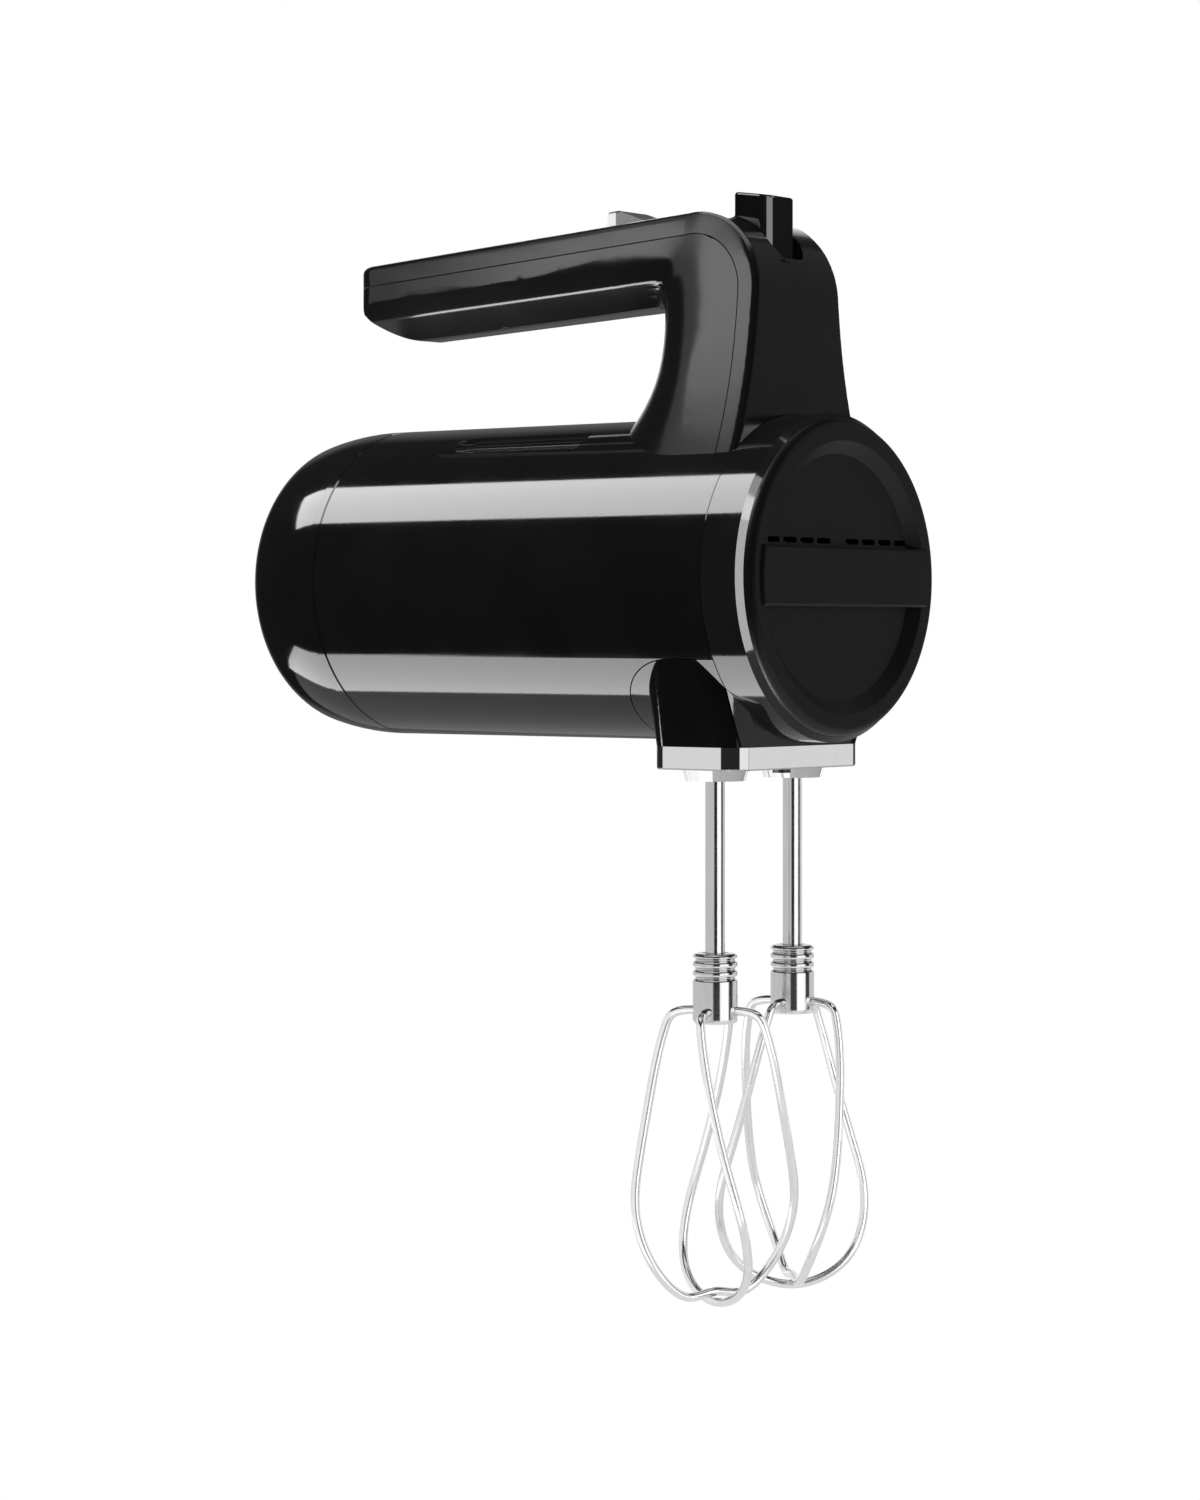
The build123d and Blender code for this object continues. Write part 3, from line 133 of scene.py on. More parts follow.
# Directions, the camera, and the studio's surroundings
UP, DOWN, ALONG = (0, 0, 1), (0, 0, -1), (0, 1, 0)
VIEW = (0.777, 0.629, 0.0)
CAMERA_PLACE = (-0.7933, -0.7420, -0.0151)
CAMERA_LENS = 89.39
CAMERA_SENSOR = 36.0
CAMERA_SHIFT = -0.0762
ROOM_LIGHT = 0.35
ROOM_MIRRORED = 0.02
BACKDROP_MIRRORED = 0.15
BACKDROP_EDGES = (0.80, 0.93)
FLOOR_TONE = 0.36
FLOOR_ROUGH = 0.9
FLOOR_LEFT, FLOOR_REACH, FLOOR_BACK = -0.19, 0.9, 0.35
OVER_FLOOR = 0.01

# Upper boxes: their elevation and width; the side, the place along the barrel and the strength of each
BOX_ELEVATION = math.radians(60.5)
BOX_WIDTH = 0.555
UPPER_BOXES = ((-1, 0.78, 1.0), (-1, -1.1, 0.6), (1, -1.1, 0.6))
SIDE_BOX_STRENGTH = 0.7

# The handle's card, which dims upwards: lower edge, upper edge and strength
HANDLE_CARD = ((0.07, 0.42, 1.0), (0.42, 0.56, 0.85), (0.56, 0.7, 0.6), (0.7, 0.9, 0.35), (0.9, 2.07, 0.1))

# Cards round the beaters: azimuth and half width in degrees, and radiance
BEATERS = (0, -0.15, -0.08)
CARD_DISTANCE = 0.8
SHAFT_CARDS = ((179, 28, 0.7), (123, 28, 0.7), (67, 28, 0.7), (266, 24, 1.5), (339, 21, 0.75), (20, 20, 0.7))
WIRE_CARDS = ((179, 28, 1.2), (123, 28, 1.1), (67, 28, 0.9), (221, 14, 0.5),
              (266, 24, 1.9), (305, 13, 0.5), (339, 21, 1.2), (20, 20, 0.9))
PLATE_CARDS = ((142, 22, 0.75), (273, 23, 0.9), (322, 24, 0.75))
ROD_WORDS = ("beater_shaft", "ferrule", "speed_slider")
WIRE_WORDS = ("loop", "collar")


# Sizes and colours


class MixerSizes(bpy.types.PropertyGroup):
    barrel_radius: FloatProperty(
        name="Barrel radius", description="Outer radius of the barrel in millimetres", default=43.0)
    shaft_radius: FloatProperty(
        name="Shaft radius", description="Radius of a beater's shaft in millimetres", default=2.6)
    ferrule_roll: FloatProperty(
        name="Ferrule roll", description="Rounding of a ferrule's top edge in millimetres", default=1.0)
    ring_pitch: FloatProperty(
        name="Ring pitch", description="Pitch of the ferrule's rings in millimetres", default=2.35)
    ring_depth: FloatProperty(
        name="Ring depth", description="Depth of the ferrule's grooves in millimetres", default=0.7)
    seam_height: FloatProperty(
        name="Seam height", default=82.0,
        description="Height of the handle's seam over the barrel's axis at the heel in millimetres")
    bar_slope: FloatProperty(
        name="Bar slope", description="Rise of the grip bar to the front", default=0.0585)
    press_travel: FloatProperty(
        name="Press travel", description="How far the ejector button goes down in millimetres", default=9.0)
    knob_set_back: FloatProperty(
        name="Knob set-back", default=4.4,
        description="From the slider's rear end under the cover to its knob in millimetres")
    # Length of the painted highlight, a near-white band of colour at the knob's rear end
    highlight_end: FloatProperty(
        name="Polished end", description="Length of the knob's polished rear end in millimetres", default=3.2)
    skin: FloatProperty(
        name="Skin", description="Longest edge in the handle's softened corner in millimetres", default=2.0)


class MixerFinishes(bpy.types.PropertyGroup):
    gloss_black: FloatVectorProperty(
        name="Gloss black", description="Barrel, caps and button", subtype="COLOR",
        default=(0.0035, 0.0035, 0.0038))
    handle_black: FloatVectorProperty(
        name="Handle black", description="Handle and its cover", subtype="COLOR",
        default=(0.007, 0.007, 0.0075))
    satin_black: FloatVectorProperty(
        name="Satin black", description="Front cap and band", subtype="COLOR",
        default=(0.0075, 0.0075, 0.008))
    steel: FloatVectorProperty(
        name="Steel", description="Polished wire and shafts", subtype="COLOR", default=(0.74, 0.74, 0.75))
    chrome: FloatVectorProperty(
        name="Chrome", description="Trim plate and collars", subtype="COLOR", default=(0.86, 0.86, 0.87))
    silver: FloatVectorProperty(
        name="Silver", description="Speed slider paint", subtype="COLOR", default=(0.62, 0.62, 0.64))


class MixerStudio(bpy.types.PropertyGroup):
    floor_height: FloatProperty(
        name="Floor height", description="Height of the floor in the mixer's frame", default=-0.26,
        unit="LENGTH")
    key_radiance: FloatProperty(
        name="Upper box", description="Radiance of the upper softboxes", default=9.5)
    low_radiance: FloatProperty(
        name="Lower box", description="Radiance of the lower softbox", default=4.9)
    crease_radiance: FloatProperty(
        name="Crease strip", description="Radiance of the strip under the grip bar", default=9.0)
    front_radiance: FloatProperty(
        name="Front card", description="Radiance of the wide card in front", default=0.14)
    handle_radiance: FloatProperty(
        name="Handle card", description="Radiance of the cards for the neck", default=3.3)
    bar_radiance: FloatProperty(
        name="Bar card", description="Radiance of the cards for the grip bar's rear", default=0.6)
    top_radiance: FloatProperty(
        name="Handle top", description="Radiance of the lamp over the handle", default=2.0)
    near_radiance: FloatProperty(
        name="Near card", description="Radiance of the card by the camera", default=9.5)
    button_radiance: FloatProperty(
        name="Button card", description="Radiance of the card for the ejector button", default=5.0)
    knob_radiance: FloatProperty(
        name="Knob card", description="Radiance of the card for the slider's knob", default=0.45)
    metal_low_radiance: FloatProperty(
        name="Metal floor", description="Radiance of the lamp under the beaters", default=0.55)
    metal_top_radiance: FloatProperty(
        name="Metal top", description="Radiance of the lamp over the beaters", default=1.1)


# Shader trees


class Socket:
    """A node's output in a shader tree. Arithmetic with it adds Math nodes."""

    def __init__(self, tree, output=None):
        self.tree = tree
        self.output = output

    def fill(self, target, value):
        if isinstance(value, Socket):
            self.tree.links.new(value.output, target)
        else:
            target.default_value = value

    def add(self, kind, settings=None, sockets=None, output=0):
        """Add any node: its settings first, then the values or links of its sockets."""
        node = self.tree.nodes.new(kind)
        for name, value in (settings or {}).items():
            setattr(node, name, value)
        for name, value in (sockets or {}).items():
            self.fill(node.inputs[name], value)
        return Socket(self.tree, node.outputs[output])

    def maths(self, operation, first, second):
        return self.add("ShaderNodeMath", {"operation": operation}, {0: first, 1: second})

    def __add__(self, other):
        return self.maths("ADD", self, other)

    def __radd__(self, other):
        return self.maths("ADD", other, self)

    def __sub__(self, other):
        return self.maths("SUBTRACT", self, other)

    def __rsub__(self, other):
        return self.maths("SUBTRACT", other, self)

    def __mul__(self, other):
        return self.maths("MULTIPLY", self, other)

    def __rmul__(self, other):
        return self.maths("MULTIPLY", other, self)


def ramp(value, low, high):
    """A smooth step of a value from 0 at low to 1 at high."""
    return value.add("ShaderNodeMapRange", {"interpolation_type": "SMOOTHSTEP"},
                     {"Value": value, "From Min": low, "From Max": high})


def blend(factor, first, second):
    """A colour between two colours, each given as numbers or as a socket."""
    first, second = (end if isinstance(end, Socket) else (*end, 1.0) for end in (first, second))
    return factor.add("ShaderNodeMix", {"data_type": "RGBA"}, {0: factor, 6: first, 7: second}, 2)


def between(ends, share):
    """A value between two numbers, at a share that varies over the surface."""
    return ends[0] + (ends[1] - ends[0]) * share


def shade(colour, share):
    return tuple(share * c for c in colour)


def noise(place, scale, detail):
    return place.add("ShaderNodeTexNoise", None, {"Vector": place, "Scale": scale, "Detail": detail}, "Fac")


def new_material(name, metallic=0.0):
    """A material with its principled node, and the place on the piece in metres."""
    material = bpy.data.materials.new(name)
    material.use_nodes = True
    shader = material.node_tree.nodes["Principled BSDF"]
    shader.inputs["Metallic"].default_value = metallic
    place = Socket(material.node_tree).add("ShaderNodeTexCoord", output="Object")
    return material, shader, place


def emboss(shader, height, strength, depth):
    """Raise a finish's relief to a depth in millimetres."""
    bump = height.add("ShaderNodeBump", None, {"Strength": strength, "Distance": depth * MM, "Height": height})
    height.fill(shader.inputs["Normal"], bump)


def plastic(name, colour, rough, grain_scale, grain_depth, pale=1.25):
    """Moulded plastic: cloudy gloss, a faint shift of tone and a fine grain."""
    material, shader, place = new_material(name)
    cloud = noise(place, CLOUD_SCALE, 3.0)
    grain = noise(place, grain_scale, 4.0)
    place.fill(shader.inputs["Base Color"], blend(ramp(cloud, *CLOUD_EDGES), colour, shade(colour, pale)))
    place.fill(shader.inputs["Roughness"], between(rough, cloud))
    emboss(shader, grain, PLASTIC_RELIEF, grain_depth)
    return material


def metal(name, colour, dark, rough, stretch, depth):
    """Worked metal: fine lines along the stretched direction, and a slow change of polish."""
    material, shader, place = new_material(name, metallic=1.0)
    lined = place.add("ShaderNodeMapping", None, {"Vector": place, "Scale": stretch})
    lines = noise(lined, 1.0, 3.0)
    polish = noise(place, POLISH_SCALE, 2.0)
    place.fill(shader.inputs["Base Color"], blend(lines, dark, colour))
    place.fill(shader.inputs["Roughness"], between(rough, polish))
    emboss(shader, lines, METAL_RELIEF, depth)
    return material


def slider_metal(name, colour, sizes):
    """Matt silver, with a painted highlight on the knob's rear end: a near-white band of colour. The slider
    reaches further back under the cover.
    """
    material, shader, place = new_material(name, metallic=1.0)
    grain = noise(place, SLIDER_GRAIN, 3.0)
    along = place.add("ShaderNodeSeparateXYZ", None, {"Vector": place}, "Y")
    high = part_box("speed_slider")[1]
    start = high[1] - (sizes.knob_set_back + sizes.highlight_end) * MM
    # Painted highlight: the knob's rear end turns near white
    rear = ramp(along, start - END_FADE * MM, start + END_FADE * MM)
    body = blend(grain, *(shade(colour, share) for share in SLIDER_TONES))
    place.fill(shader.inputs["Base Color"], blend(rear, body, HIGHLIGHT_TONE))
    place.fill(shader.inputs["Roughness"], between(SLIDER_ROUGH, grain))
    emboss(shader, grain, METAL_RELIEF, 0.01)
    return material


def wear(piece, material):
    """Give a piece one material."""
    piece.data.materials.clear()
    piece.data.materials.append(material)


# Pieces


def cut_from(node, name, keep, body="housing"):
    """A new piece from the faces of a node's mesh whose centre is kept, with the same normals."""
    source = NODES[node].data
    faces = [face for face in source.polygons if keep(face.center)]
    used = sorted({v for face in faces for v in face.vertices})
    place = {v: i for i, v in enumerate(used)}
    points = [source.vertices[v].co for v in used]
    mesh = bpy.data.meshes.new(name)
    mesh.from_pydata(points, [], [[place[v] for v in face.vertices] for face in faces])
    normals = [source.corner_normals[loop].vector for face in faces for loop in face.loop_indices]
    mesh.polygons.foreach_set("use_smooth", [True] * len(faces))
    mesh.normals_split_custom_set([tuple(n) for n in normals])
    piece = bpy.data.objects.new(name, mesh)
    bpy.context.scene.collection.objects.link(piece)
    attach(piece, body)
    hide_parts(node)
    return piece


def step(values, low, high):
    """A smooth step of an array from 0 at low to 1 at high."""
    share = np.clip((values - low) / (high - low), 0, 1)
    return share * share * (3 - 2 * share)


def refine(piece, weight, longest):
    """Join a piece's faces and split its edges where the weight applies, until none there is longer than asked.
    The corner normals it had are kept in an attribute."""
    mesh = piece.data
    kept = mesh.attributes.new("moulded", "FLOAT_VECTOR", "CORNER")
    kept.data.foreach_set("vector", [c for corner in mesh.corner_normals for c in corner.vector])
    shape = bmesh.new()
    shape.from_mesh(mesh)
    bmesh.ops.remove_doubles(shape, verts=shape.verts, dist=1e-6)
    for _ in range(SPLIT_PASSES):
        edges = [edge for edge in shape.edges if edge.calc_length() > longest]
        ends = np.array([(*edge.verts[0].co, *edge.verts[1].co) for edge in edges]).reshape(-1, 6)
        touched = np.zeros(len(edges), dtype=bool)
        for share in np.linspace(0, 1, EDGE_SAMPLES):
            touched |= weight(((1 - share) * ends[:, :3] + share * ends[:, 3:]) / MM) > LEAST_WEIGHT
        split = [edge for edge, hit in zip(edges, touched) if hit]
        if not split:
            break
        bmesh.ops.subdivide_edges(shape, edges=split, cuts=1)
        bmesh.ops.triangulate(shape, faces=[face for face in shape.faces if len(face.verts) > 3])
    shape.to_mesh(mesh)
    shape.free()


def links_of(mesh):
    """Both directions of every edge of a mesh, as two arrays of points."""
    ends = np.empty(2 * len(mesh.edges), dtype=np.int32)
    mesh.edges.foreach_get("vertices", ends)
    first, second = ends[::2], ends[1::2]
    return np.concatenate((first, second)), np.concatenate((second, first))


def gathered(points, rows, count):
    """The sum of the rows of an array that belong to each point."""
    return np.stack([np.bincount(points, rows[:, axis], count) for axis in range(3)], axis=1)


def even_out(values, both, other, strength, rounds):
    """Draw each row of an array towards the mean of its neighbours, as far as its strength says."""
    count = len(values)
    links = np.maximum(np.bincount(both, minlength=count), 1)
    for _ in range(rounds):
        near = gathered(both, values[other], count)
        values = values + (0.5 * strength)[:, None] * (near / links[:, None] - values)
    return values


def soften(piece, weight, rounds, facing, bend, turns):
    """Round a refined piece where a weight applies; then let the normals of the faces that face a given way
    flow into each other where a second weight, the bend, applies."""
    mesh = piece.data
    count = len(mesh.vertices)
    points = np.empty(3 * count)
    mesh.vertices.foreach_get("co", points)
    points = points.reshape(-1, 3)
    both, other = links_of(mesh)
    strength = weight(points / MM)
    points = even_out(points, both, other, strength, rounds)
    mesh.vertices.foreach_set("co", points.ravel())
    mesh.update()

    corners = np.empty(len(mesh.loops), dtype=np.int32)
    mesh.loops.foreach_get("vertex_index", corners)
    moulded = np.empty(3 * len(mesh.loops))
    mesh.attributes["moulded"].data.foreach_get("vector", moulded)
    smooth = np.empty(3 * count)
    mesh.vertex_normals.foreach_get("vector", smooth)
    share = np.clip(3 * strength, 0, 1)[corners][:, None]
    normals = (1 - share) * moulded.reshape(-1, 3) + share * smooth.reshape(-1, 3)[corners]

    chosen = facing(normals)
    sums = gathered(corners[chosen], normals[chosen], count)
    shown = np.linalg.norm(sums, axis=1) > 1e-6
    sums[shown] /= np.linalg.norm(sums[shown], axis=1)[:, None]
    linked = shown[both] & shown[other]
    flow = even_out(sums, both[linked], other[linked], bend(points / MM), turns)
    normals[chosen] = flow[corners[chosen]]
    normals /= np.maximum(np.linalg.norm(normals, axis=1), 1e-9)[:, None]
    mesh.polygons.foreach_set("use_smooth", [True] * len(mesh.polygons))
    mesh.normals_split_custom_set([tuple(n) for n in normals])
    mesh.attributes.remove(mesh.attributes["moulded"])


class MIXER_OT_housing(bpy.types.Operator):
    """Split the housing's looks into the glossy barrel and the handle that grows out of it"""

    bl_idname = "mixer.housing"
    bl_label = "Housing"

    def execute(self, context):
        paint = context.scene.mixer_finishes
        sizes = context.scene.mixer_sizes
        limit = (sizes.barrel_radius + BARREL_SKIN) * MM

        def on_handle(centre):
            return math.hypot(centre.x, centre.z) > limit

        def in_corner(at):
            y, z = at[:, 1], at[:, 2]
            seam = sizes.seam_height - sizes.bar_slope * y
            below_seam = 1 - step(z, seam - UNDER_SEAM[0], seam - UNDER_SEAM[1])
            return step(y, *CORNER_FRONT) * (1 - step(y, *CORNER_REAR)) * step(z, *CORNER_FOOT) * below_seam

        def near_corner(at):
            y, z = at[:, 1], at[:, 2]
            return step(y, *FLOW_FRONT) * (1 - step(y, *FLOW_REAR)) * step(z, *FLOW_FOOT)

        def nowhere(at):
            return np.zeros(len(at))

        def sideways(normals):
            return np.abs(normals[:, 0]) > SIDE_FACING

        barrel = cut_from("main_housing", "barrel_shell", lambda centre: not on_handle(centre))
        handle = cut_from("main_housing", "handle_shell", on_handle)
        cover = cut_from("handle_cover", "cover_shell", lambda centre: True)
        for piece, corner in ((handle, in_corner), (cover, nowhere)):
            refine(piece, near_corner, sizes.skin * MM)
            soften(piece, corner, CORNER_ROUNDS, sideways, near_corner, FLOW_ROUNDS)

        wear(barrel, FINISHES["gloss_black"])
        wear(handle, plastic("handle_black", tuple(paint.handle_black), (0.12, 0.18), 1500.0, 0.01))
        wear(cover, FINISHES["cover_black"])
        return {"FINISHED"}


def turned(name, across, profile, steps=96):
    """A closed ring of revolution about an upright axis, from a profile of radii and heights in millimetres."""
    vertices = []
    for i in range(steps):
        angle = math.tau * i / steps
        for radius, height in profile:
            vertices.append((across[0] + radius * MM * math.cos(angle),
                             across[1] + radius * MM * math.sin(angle), height * MM))
    count = len(profile)
    faces = []
    for i in range(steps):
        here, there = i * count, (i + 1) % steps * count
        for j in range(count):
            k = (j + 1) % count
            faces.append((here + j, here + k, there + k, there + j))
    mesh = bpy.data.meshes.new(name)
    mesh.from_pydata(vertices, [], faces)
    mesh.polygons.foreach_set("use_smooth", [True] * len(faces))
    piece = bpy.data.objects.new(name, mesh)
    bpy.context.scene.collection.objects.link(piece)
    return piece


class MIXER_OT_ferrules(bpy.types.Operator):
    """Turn the two ferrules that clamp the wires, with rounded rings and a rolled top edge"""

    bl_idname = "mixer.ferrules"
    bl_label = "Ferrules"

    def execute(self, context):
        sizes = context.scene.mixer_sizes
        bore, roll = sizes.shaft_radius, sizes.ferrule_roll
        for side in ("left", "right"):
            low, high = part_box(side + "_ferrule")
            across = ((low[0] + high[0]) / 2, (low[1] + high[1]) / 2)
            radius, bottom, top = (high[0] - low[0]) / 2 / MM, low[2] / MM, high[2] / MM
            profile = [(bore, top)]
            for i in range(ROLL_STEPS + 1):
                turn = math.pi / 2 * i / ROLL_STEPS
                profile.append((radius - roll + roll * math.sin(turn), top - roll + roll * math.cos(turn)))
            height = top - roll - TOP_GAP
            while height > bottom + FOOT_GAP:
                below = [height - top + (i + FIRST_GROOVE) * sizes.ring_pitch for i in range(GROOVES)]
                dip = sum(math.exp(-(gap / GROOVE_WIDTH) ** 2) for gap in below)
                profile.append((radius - sizes.ring_depth * dip, height))
                height -= FINE_STEP if height > top - RINGED_LENGTH else COARSE_STEP
            profile += [(radius, bottom + FOOT_CHAMFER), (radius - FOOT_CHAMFER, bottom), (bore, bottom)]
            ferrule = turned(side + "_ferrule_turned", across, profile)
            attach(ferrule, side + "_beater")
            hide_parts(side + "_ferrule")
            wear(ferrule, FINISHES["bright_steel"])
        return {"FINISHED"}


class MIXER_OT_spring(bpy.types.Operator):
    """Give the ejector's spring a mesh of its own, in inner steel"""

    bl_idname = "mixer.spring"
    bl_label = "Ejector spring"

    def execute(self, context):
        coil = cut_from("ejector_spring", "spring_coil", lambda centre: True)
        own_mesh(coil)
        wear(coil, FINISHES["inner_steel"])
        return {"FINISHED"}


# Stage


def softbox(name, centre, facing, along, width, length, radiance, receivers):
    """A rectangular lamp that faces one way, with its long side along a given direction, for some pieces."""
    lamp = bpy.data.lights.new(name, "AREA")
    lamp.shape = "RECTANGLE"
    lamp.size = width
    lamp.size_y = length
    lamp.energy = radiance * math.pi * width * length
    box = bpy.data.objects.new(name, lamp)
    back = -Vector(facing).normalized()
    up = Vector(along).normalized()
    side = up.cross(back)
    up = back.cross(side)
    box.matrix_world = Matrix.Translation(centre) @ Matrix((side, up, back)).transposed().to_4x4()
    box.visible_camera = False
    bpy.context.scene.collection.objects.link(box)
    lit = bpy.data.collections.new(name + "_lit")
    for piece in receivers:
        lit.objects.link(piece)
    box.light_linking.receiver_collection = lit


def upright_card(name, centre, turn, spread, distance, height, radiance, receivers):
    """A standing lamp at an azimuth about a point, as wide as the spread in degrees to each side."""
    away = Vector((math.cos(math.radians(turn)), math.sin(math.radians(turn)), 0))
    width = 2 * distance * math.tan(math.radians(spread))
    softbox(name, Vector(centre) + distance * away, -away, UP, width, height, radiance, receivers)


def named(*words):
    """All pieces with one of the words in their names."""
    return [piece for piece in bpy.data.objects if any(word in piece.name for word in words)]


def set_camera(scene, forward):
    camera = bpy.data.objects.new("camera", bpy.data.cameras.new("camera"))
    camera.location = CAMERA_PLACE
    camera.rotation_mode = "QUATERNION"
    camera.rotation_quaternion = forward.to_track_quat("-Z", "Y")
    camera.data.lens = CAMERA_LENS
    camera.data.sensor_width = CAMERA_SENSOR
    camera.data.shift_y = CAMERA_SHIFT
    scene.collection.objects.link(camera)
    scene.camera = camera


def set_world(scene, forward):
    """A white background, which shows dimly in gloss, and more so behind the mixer, and lights it softly."""
    world = bpy.data.worlds.new("studio")
    world.use_nodes = True
    scene.world = world
    start = Socket(world.node_tree)
    direction = start.add("ShaderNodeTexCoord", output="Generated")
    ahead = direction.add("ShaderNodeVectorMath", {"operation": "DOT_PRODUCT"},
                          {0: direction, 1: tuple(forward)}, "Value")
    camera_ray = start.add("ShaderNodeLightPath", output="Is Camera Ray")
    glossy_ray = start.add("ShaderNodeLightPath", output="Is Glossy Ray")
    clear_ray = start.add("ShaderNodeLightPath", output="Is Transmission Ray")
    seen = ROOM_MIRRORED + BACKDROP_MIRRORED * ramp(ahead, *BACKDROP_EDGES)
    mirrored = (glossy_ray + clear_ray) * seen
    plain = (1 - camera_ray - glossy_ray - clear_ray) * ROOM_LIGHT
    background = world.node_tree.nodes["Background"]
    background.inputs["Color"].default_value = (1.0, 1.0, 1.0, 1.0)
    start.fill(background.inputs["Strength"], camera_ray + mirrored + plain)


def lay_floor(scene, height):
    """A pale floor, which the camera sees as white."""
    left, reach, back = FLOOR_LEFT, FLOOR_REACH, FLOOR_BACK
    floor = bpy.data.meshes.new("floor")
    floor.from_pydata([(left, -reach, 0), (reach, -reach, 0), (reach, back, 0), (left, back, 0)], [],
                      [(0, 1, 2, 3)])
    ground = bpy.data.objects.new("floor", floor)
    ground.location = (0.0, 0.0, height)
    scene.collection.objects.link(ground)
    pale = bpy.data.materials.new("pale_floor")
    pale.use_nodes = True
    tree = pale.node_tree
    shader = tree.nodes["Principled BSDF"]
    shader.inputs["Base Color"].default_value = (FLOOR_TONE, FLOOR_TONE, FLOOR_TONE, 1.0)
    shader.inputs["Roughness"].default_value = FLOOR_ROUGH
    start = Socket(tree)
    camera_ray = start.add("ShaderNodeLightPath", output="Is Camera Ray")
    white = start.add("ShaderNodeEmission", None, {"Color": (1.0, 1.0, 1.0, 1.0), "Strength": 1.0})
    both = start.add("ShaderNodeMixShader", None,
                     {0: camera_ray, 1: Socket(tree, shader.outputs[0]), 2: white})
    start.fill(tree.nodes["Material Output"].inputs["Surface"], both)
    wear(ground, pale)


def light_black(studio, dark, handle):
    """Softboxes and cards for the black pieces: the stripes on the barrel and the tones of the handle."""
    face = [NODES["front_cap"], NODES["front_band"]]
    barrel = [bpy.data.objects["barrel_shell"], NODES["rear_cap"]]
    out, height = math.cos(BOX_ELEVATION), math.sin(BOX_ELEVATION)
    for side, place, strength in UPPER_BOXES:
        lit = [piece for piece in dark if piece not in face] if place < 0 else dark
        softbox("upper_softbox", (side * out, place, height), (-side * out, 0, -height), ALONG,
                BOX_WIDTH, 0.95, studio.key_radiance * strength, lit)
    for side in (-1, 1):
        softbox("side_softbox", (side * out, -0.16, height), (-side * out, 0, -height), ALONG,
                BOX_WIDTH, 0.8, studio.key_radiance * SIDE_BOX_STRENGTH, barrel)
    softbox("lower_softbox", (-0.107, 0.12, studio.floor_height + OVER_FLOOR), UP, ALONG, 0.165, 0.5,
            studio.low_radiance, dark)
    softbox("crease_strip", (-0.0195, -0.068, 0.05), UP, ALONG, 0.01, 0.094, studio.crease_radiance, handle)
    upright_card("front_card", (0, -0.18, 0.3), -39, 35, 1.0, 1.6, studio.front_radiance,
                 handle + [NODES["foot_shroud"]] + face)
    for side in (-1, 1):
        facing = (-side * VIEW[0], -VIEW[1], 0)
        for low, high, strength in HANDLE_CARD:
            softbox("handle_card", (side * 0.905, 0.353, (low + high) / 2), facing, UP, 0.6, high - low,
                    studio.handle_radiance * strength, handle)
        softbox("bar_card", (side * 0.622, 0.703, 1.03), facing, UP, 0.3, 2.0, studio.bar_radiance, handle)
    softbox("handle_top", (0, -0.1, 1.2), DOWN, ALONG, 1.5, 1.4, studio.top_radiance, handle)
    upright_card("near_card", (0, -0.18, 0.1), 231, 12, 1.1, 3.0, studio.near_radiance, [NODES["nose_housing"]])
    upright_card("button_card", (0, -0.16, 0.09), 252, 30, 1.0, 0.8, studio.button_radiance,
                 [NODES["ejector_button"]])


def light_metal(studio, rods, wires, plate):
    """Cards all round for the bright pieces, with dark gaps between them, and lamps above and below."""
    for turn, spread, radiance in SHAFT_CARDS:
        upright_card("shaft_card", BEATERS, turn, spread, CARD_DISTANCE, 0.6, radiance, rods)
    for turn, spread, radiance in WIRE_CARDS:
        upright_card("wire_card", BEATERS, turn, spread, CARD_DISTANCE, 1.3, radiance, wires)
    loops = [piece for piece in wires if "loop" in piece.name]
    softbox("metal_floor", (0, -0.15, studio.floor_height + OVER_FLOOR), UP, ALONG, 1.2, 1.2,
            studio.metal_low_radiance, rods + loops)
    upright_card("knob_card", (0, -0.11, 0.1), 141, 20, CARD_DISTANCE, 0.8, studio.knob_radiance,
                 [NODES["speed_slider"]])
    softbox("metal_top", (0, -0.15, 0.72), DOWN, ALONG, 0.9, 0.9, studio.metal_top_radiance, rods + wires)
    for turn, spread, radiance in PLATE_CARDS:
        upright_card("plate_card", BEATERS, turn, spread, CARD_DISTANCE, 0.6, radiance, plate)


class MIXER_OT_stage(bpy.types.Operator):
    """Set the camera, lay the floor and hang the lamps"""

    bl_idname = "mixer.stage"
    bl_label = "Stage"

    def execute(self, context):
        scene = context.scene
        studio = scene.mixer_studio
        scene.view_settings.view_transform = "Standard"
        forward = Vector(VIEW).normalized()
        set_camera(scene, forward)
        set_world(scene, forward)
        lay_floor(scene, studio.floor_height)
        handle = [bpy.data.objects["handle_shell"], bpy.data.objects["cover_shell"]]
        rods = named(*ROD_WORDS)
        wires = named(*WIRE_WORDS)
        plate = [NODES["trim_plate"]]
        others = rods + wires + plate + handle
        dark = [piece for piece in bpy.data.objects if piece.type == "MESH" and piece not in others]
        light_black(studio, dark, handle)
        light_metal(studio, rods, wires, plate)
        return {"FINISHED"}


# Finishes


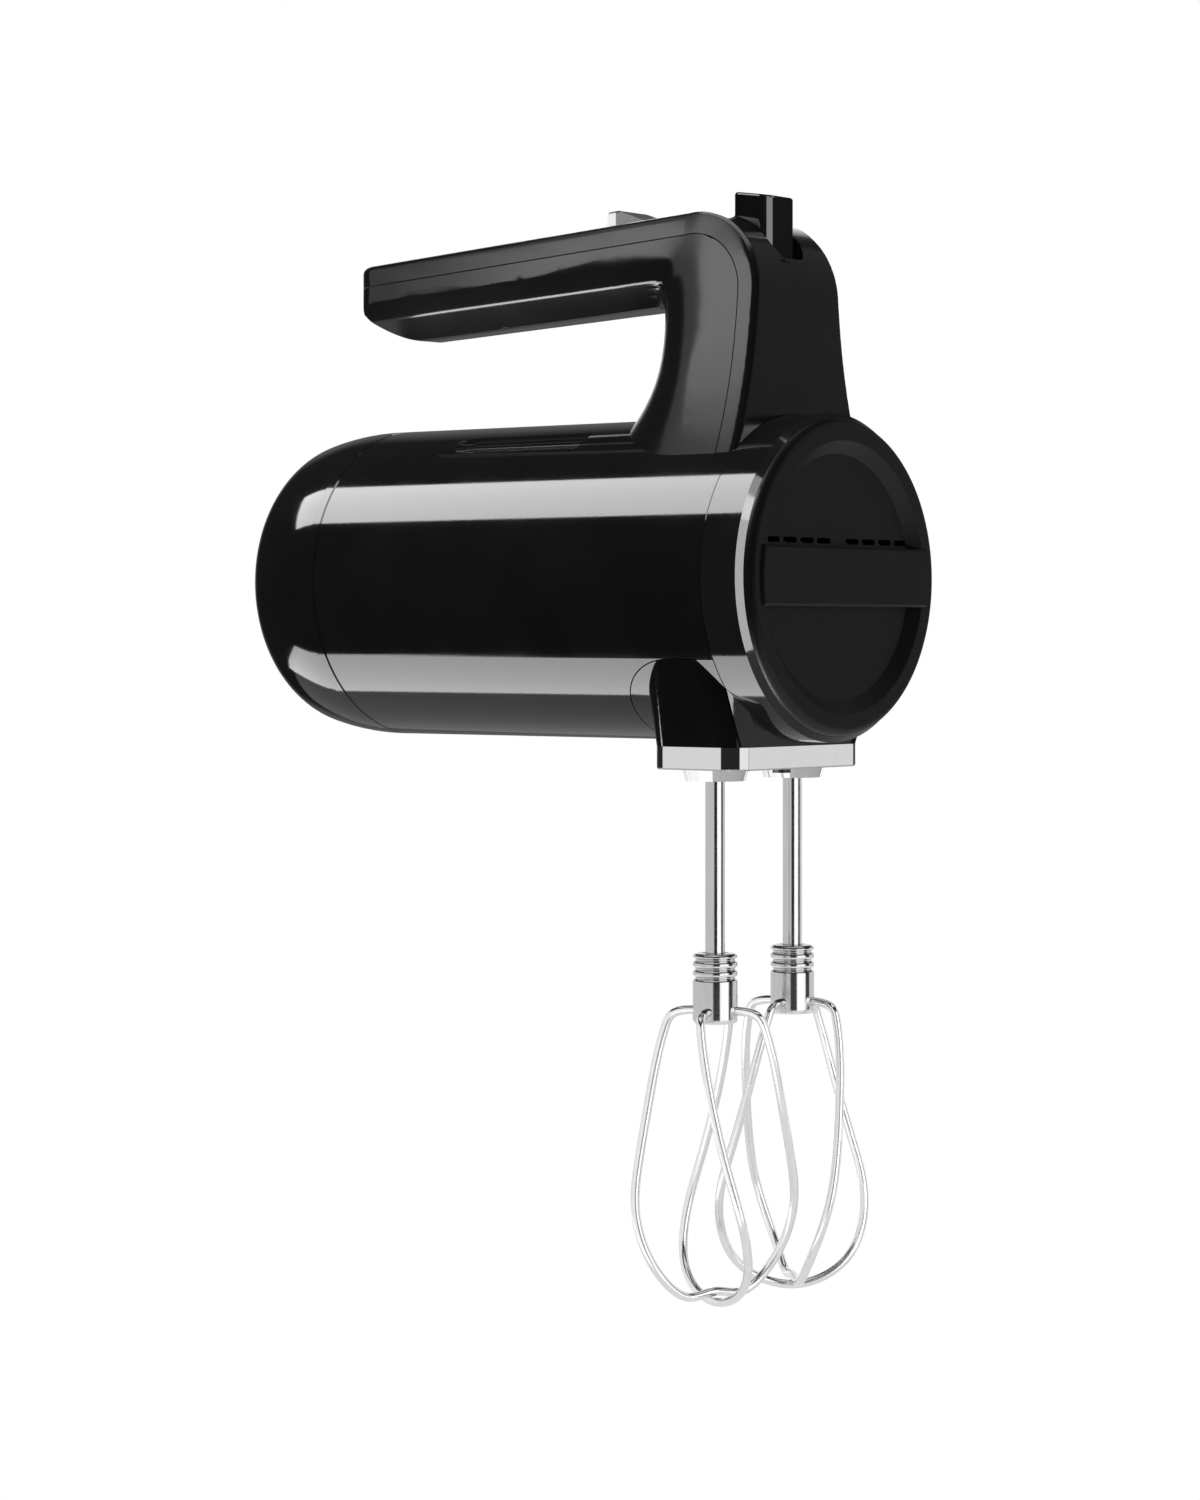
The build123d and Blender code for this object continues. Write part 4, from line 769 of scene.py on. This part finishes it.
class MIXER_OT_finishes(bpy.types.Operator):
    """Mix the finishes and give every node of the assembly its own"""

    bl_idname = "mixer.finishes"
    bl_label = "Finishes"

    def execute(self, context):
        paint = context.scene.mixer_finishes
        handle_black = tuple(paint.handle_black)
        FINISHES.update({
            "gloss_black": plastic("gloss_black", tuple(paint.gloss_black), (0.04, 0.09), 900.0, 0.01),
            "cover_black": plastic("cover_black", handle_black, (0.14, 0.2), 2000.0, 0.01),
            "satin_black": plastic("satin_black", tuple(paint.satin_black), (0.32, 0.42), 3500.0, 0.03),
            "chrome_trim": metal("chrome_trim", tuple(paint.chrome), (0.8, 0.8, 0.81), (0.03, 0.08),
                                 (400.0, 400.0, 30.0), 0.005),
            "bright_steel": metal("bright_steel", tuple(paint.steel), (0.6, 0.6, 0.61), (0.1, 0.2),
                                  (900.0, 900.0, 60.0), 0.01),
            "silver_slider": slider_metal("silver_slider", tuple(paint.silver), context.scene.mixer_sizes),
            "inner_steel": metal("inner_steel", (0.5, 0.5, 0.51), (0.4, 0.4, 0.41), (0.25, 0.4),
                                 (500.0, 500.0, 500.0), 0.01),
            "gear_nylon": plastic("gear_nylon", (0.68, 0.67, 0.62), (0.4, 0.55), 1500.0, 0.04, 1.08),
            "copper": metal("copper", (0.72, 0.36, 0.2), (0.5, 0.2, 0.1), (0.25, 0.4),
                            (200.0, 2600.0, 200.0), 0.1),
            "bronze": metal("bronze", (0.55, 0.42, 0.24), (0.4, 0.3, 0.16), (0.4, 0.55),
                            (2500.0, 2500.0, 2500.0), 0.05),
            "ferrite": plastic("ferrite", (0.05, 0.05, 0.055), (0.5, 0.7), 2000.0, 0.05),
            "cell_wrap": plastic("cell_wrap", (0.08, 0.25, 0.5), (0.2, 0.3), 600.0, 0.03, 1.2),
            "board_green": plastic("board_green", (0.04, 0.2, 0.09), (0.35, 0.5), 700.0, 0.04, 1.5),
        })
        for row in frame["record"]["subparts"]:
            wear(NODES[row["node"]], FINISHES[row["material_slot"]])
        return {"FINISHED"}


class MIXER_PT_panel(bpy.types.Panel):
    """The mixer's operators in the sidebar"""

    bl_idname = "MIXER_PT_panel"
    bl_label = "Hand mixer"
    bl_space_type = "VIEW_3D"
    bl_region_type = "UI"
    bl_category = "Mixer"

    def draw(self, context):
        for operator in OPERATORS:
            self.layout.operator(operator.bl_idname)


OPERATORS = (MIXER_OT_finishes, MIXER_OT_housing, MIXER_OT_ferrules, MIXER_OT_spring, MIXER_OT_stage)
CLASSES = (MixerSizes, MixerFinishes, MixerStudio, *OPERATORS, MIXER_PT_panel)


def register():
    for cls in CLASSES:
        bpy.utils.register_class(cls)
    bpy.types.Scene.mixer_sizes = PointerProperty(type=MixerSizes)
    bpy.types.Scene.mixer_finishes = PointerProperty(type=MixerFinishes)
    bpy.types.Scene.mixer_studio = PointerProperty(type=MixerStudio)


def unregister():
    del bpy.types.Scene.mixer_studio
    del bpy.types.Scene.mixer_finishes
    del bpy.types.Scene.mixer_sizes
    for cls in reversed(CLASSES):
        bpy.utils.unregister_class(cls)


def main():
    register()
    bpy.ops.mixer.finishes()
    bpy.ops.mixer.housing()
    bpy.ops.mixer.ferrules()
    bpy.ops.mixer.spring()
    bpy.ops.mixer.stage()


if __name__ == "__main__":
    main()
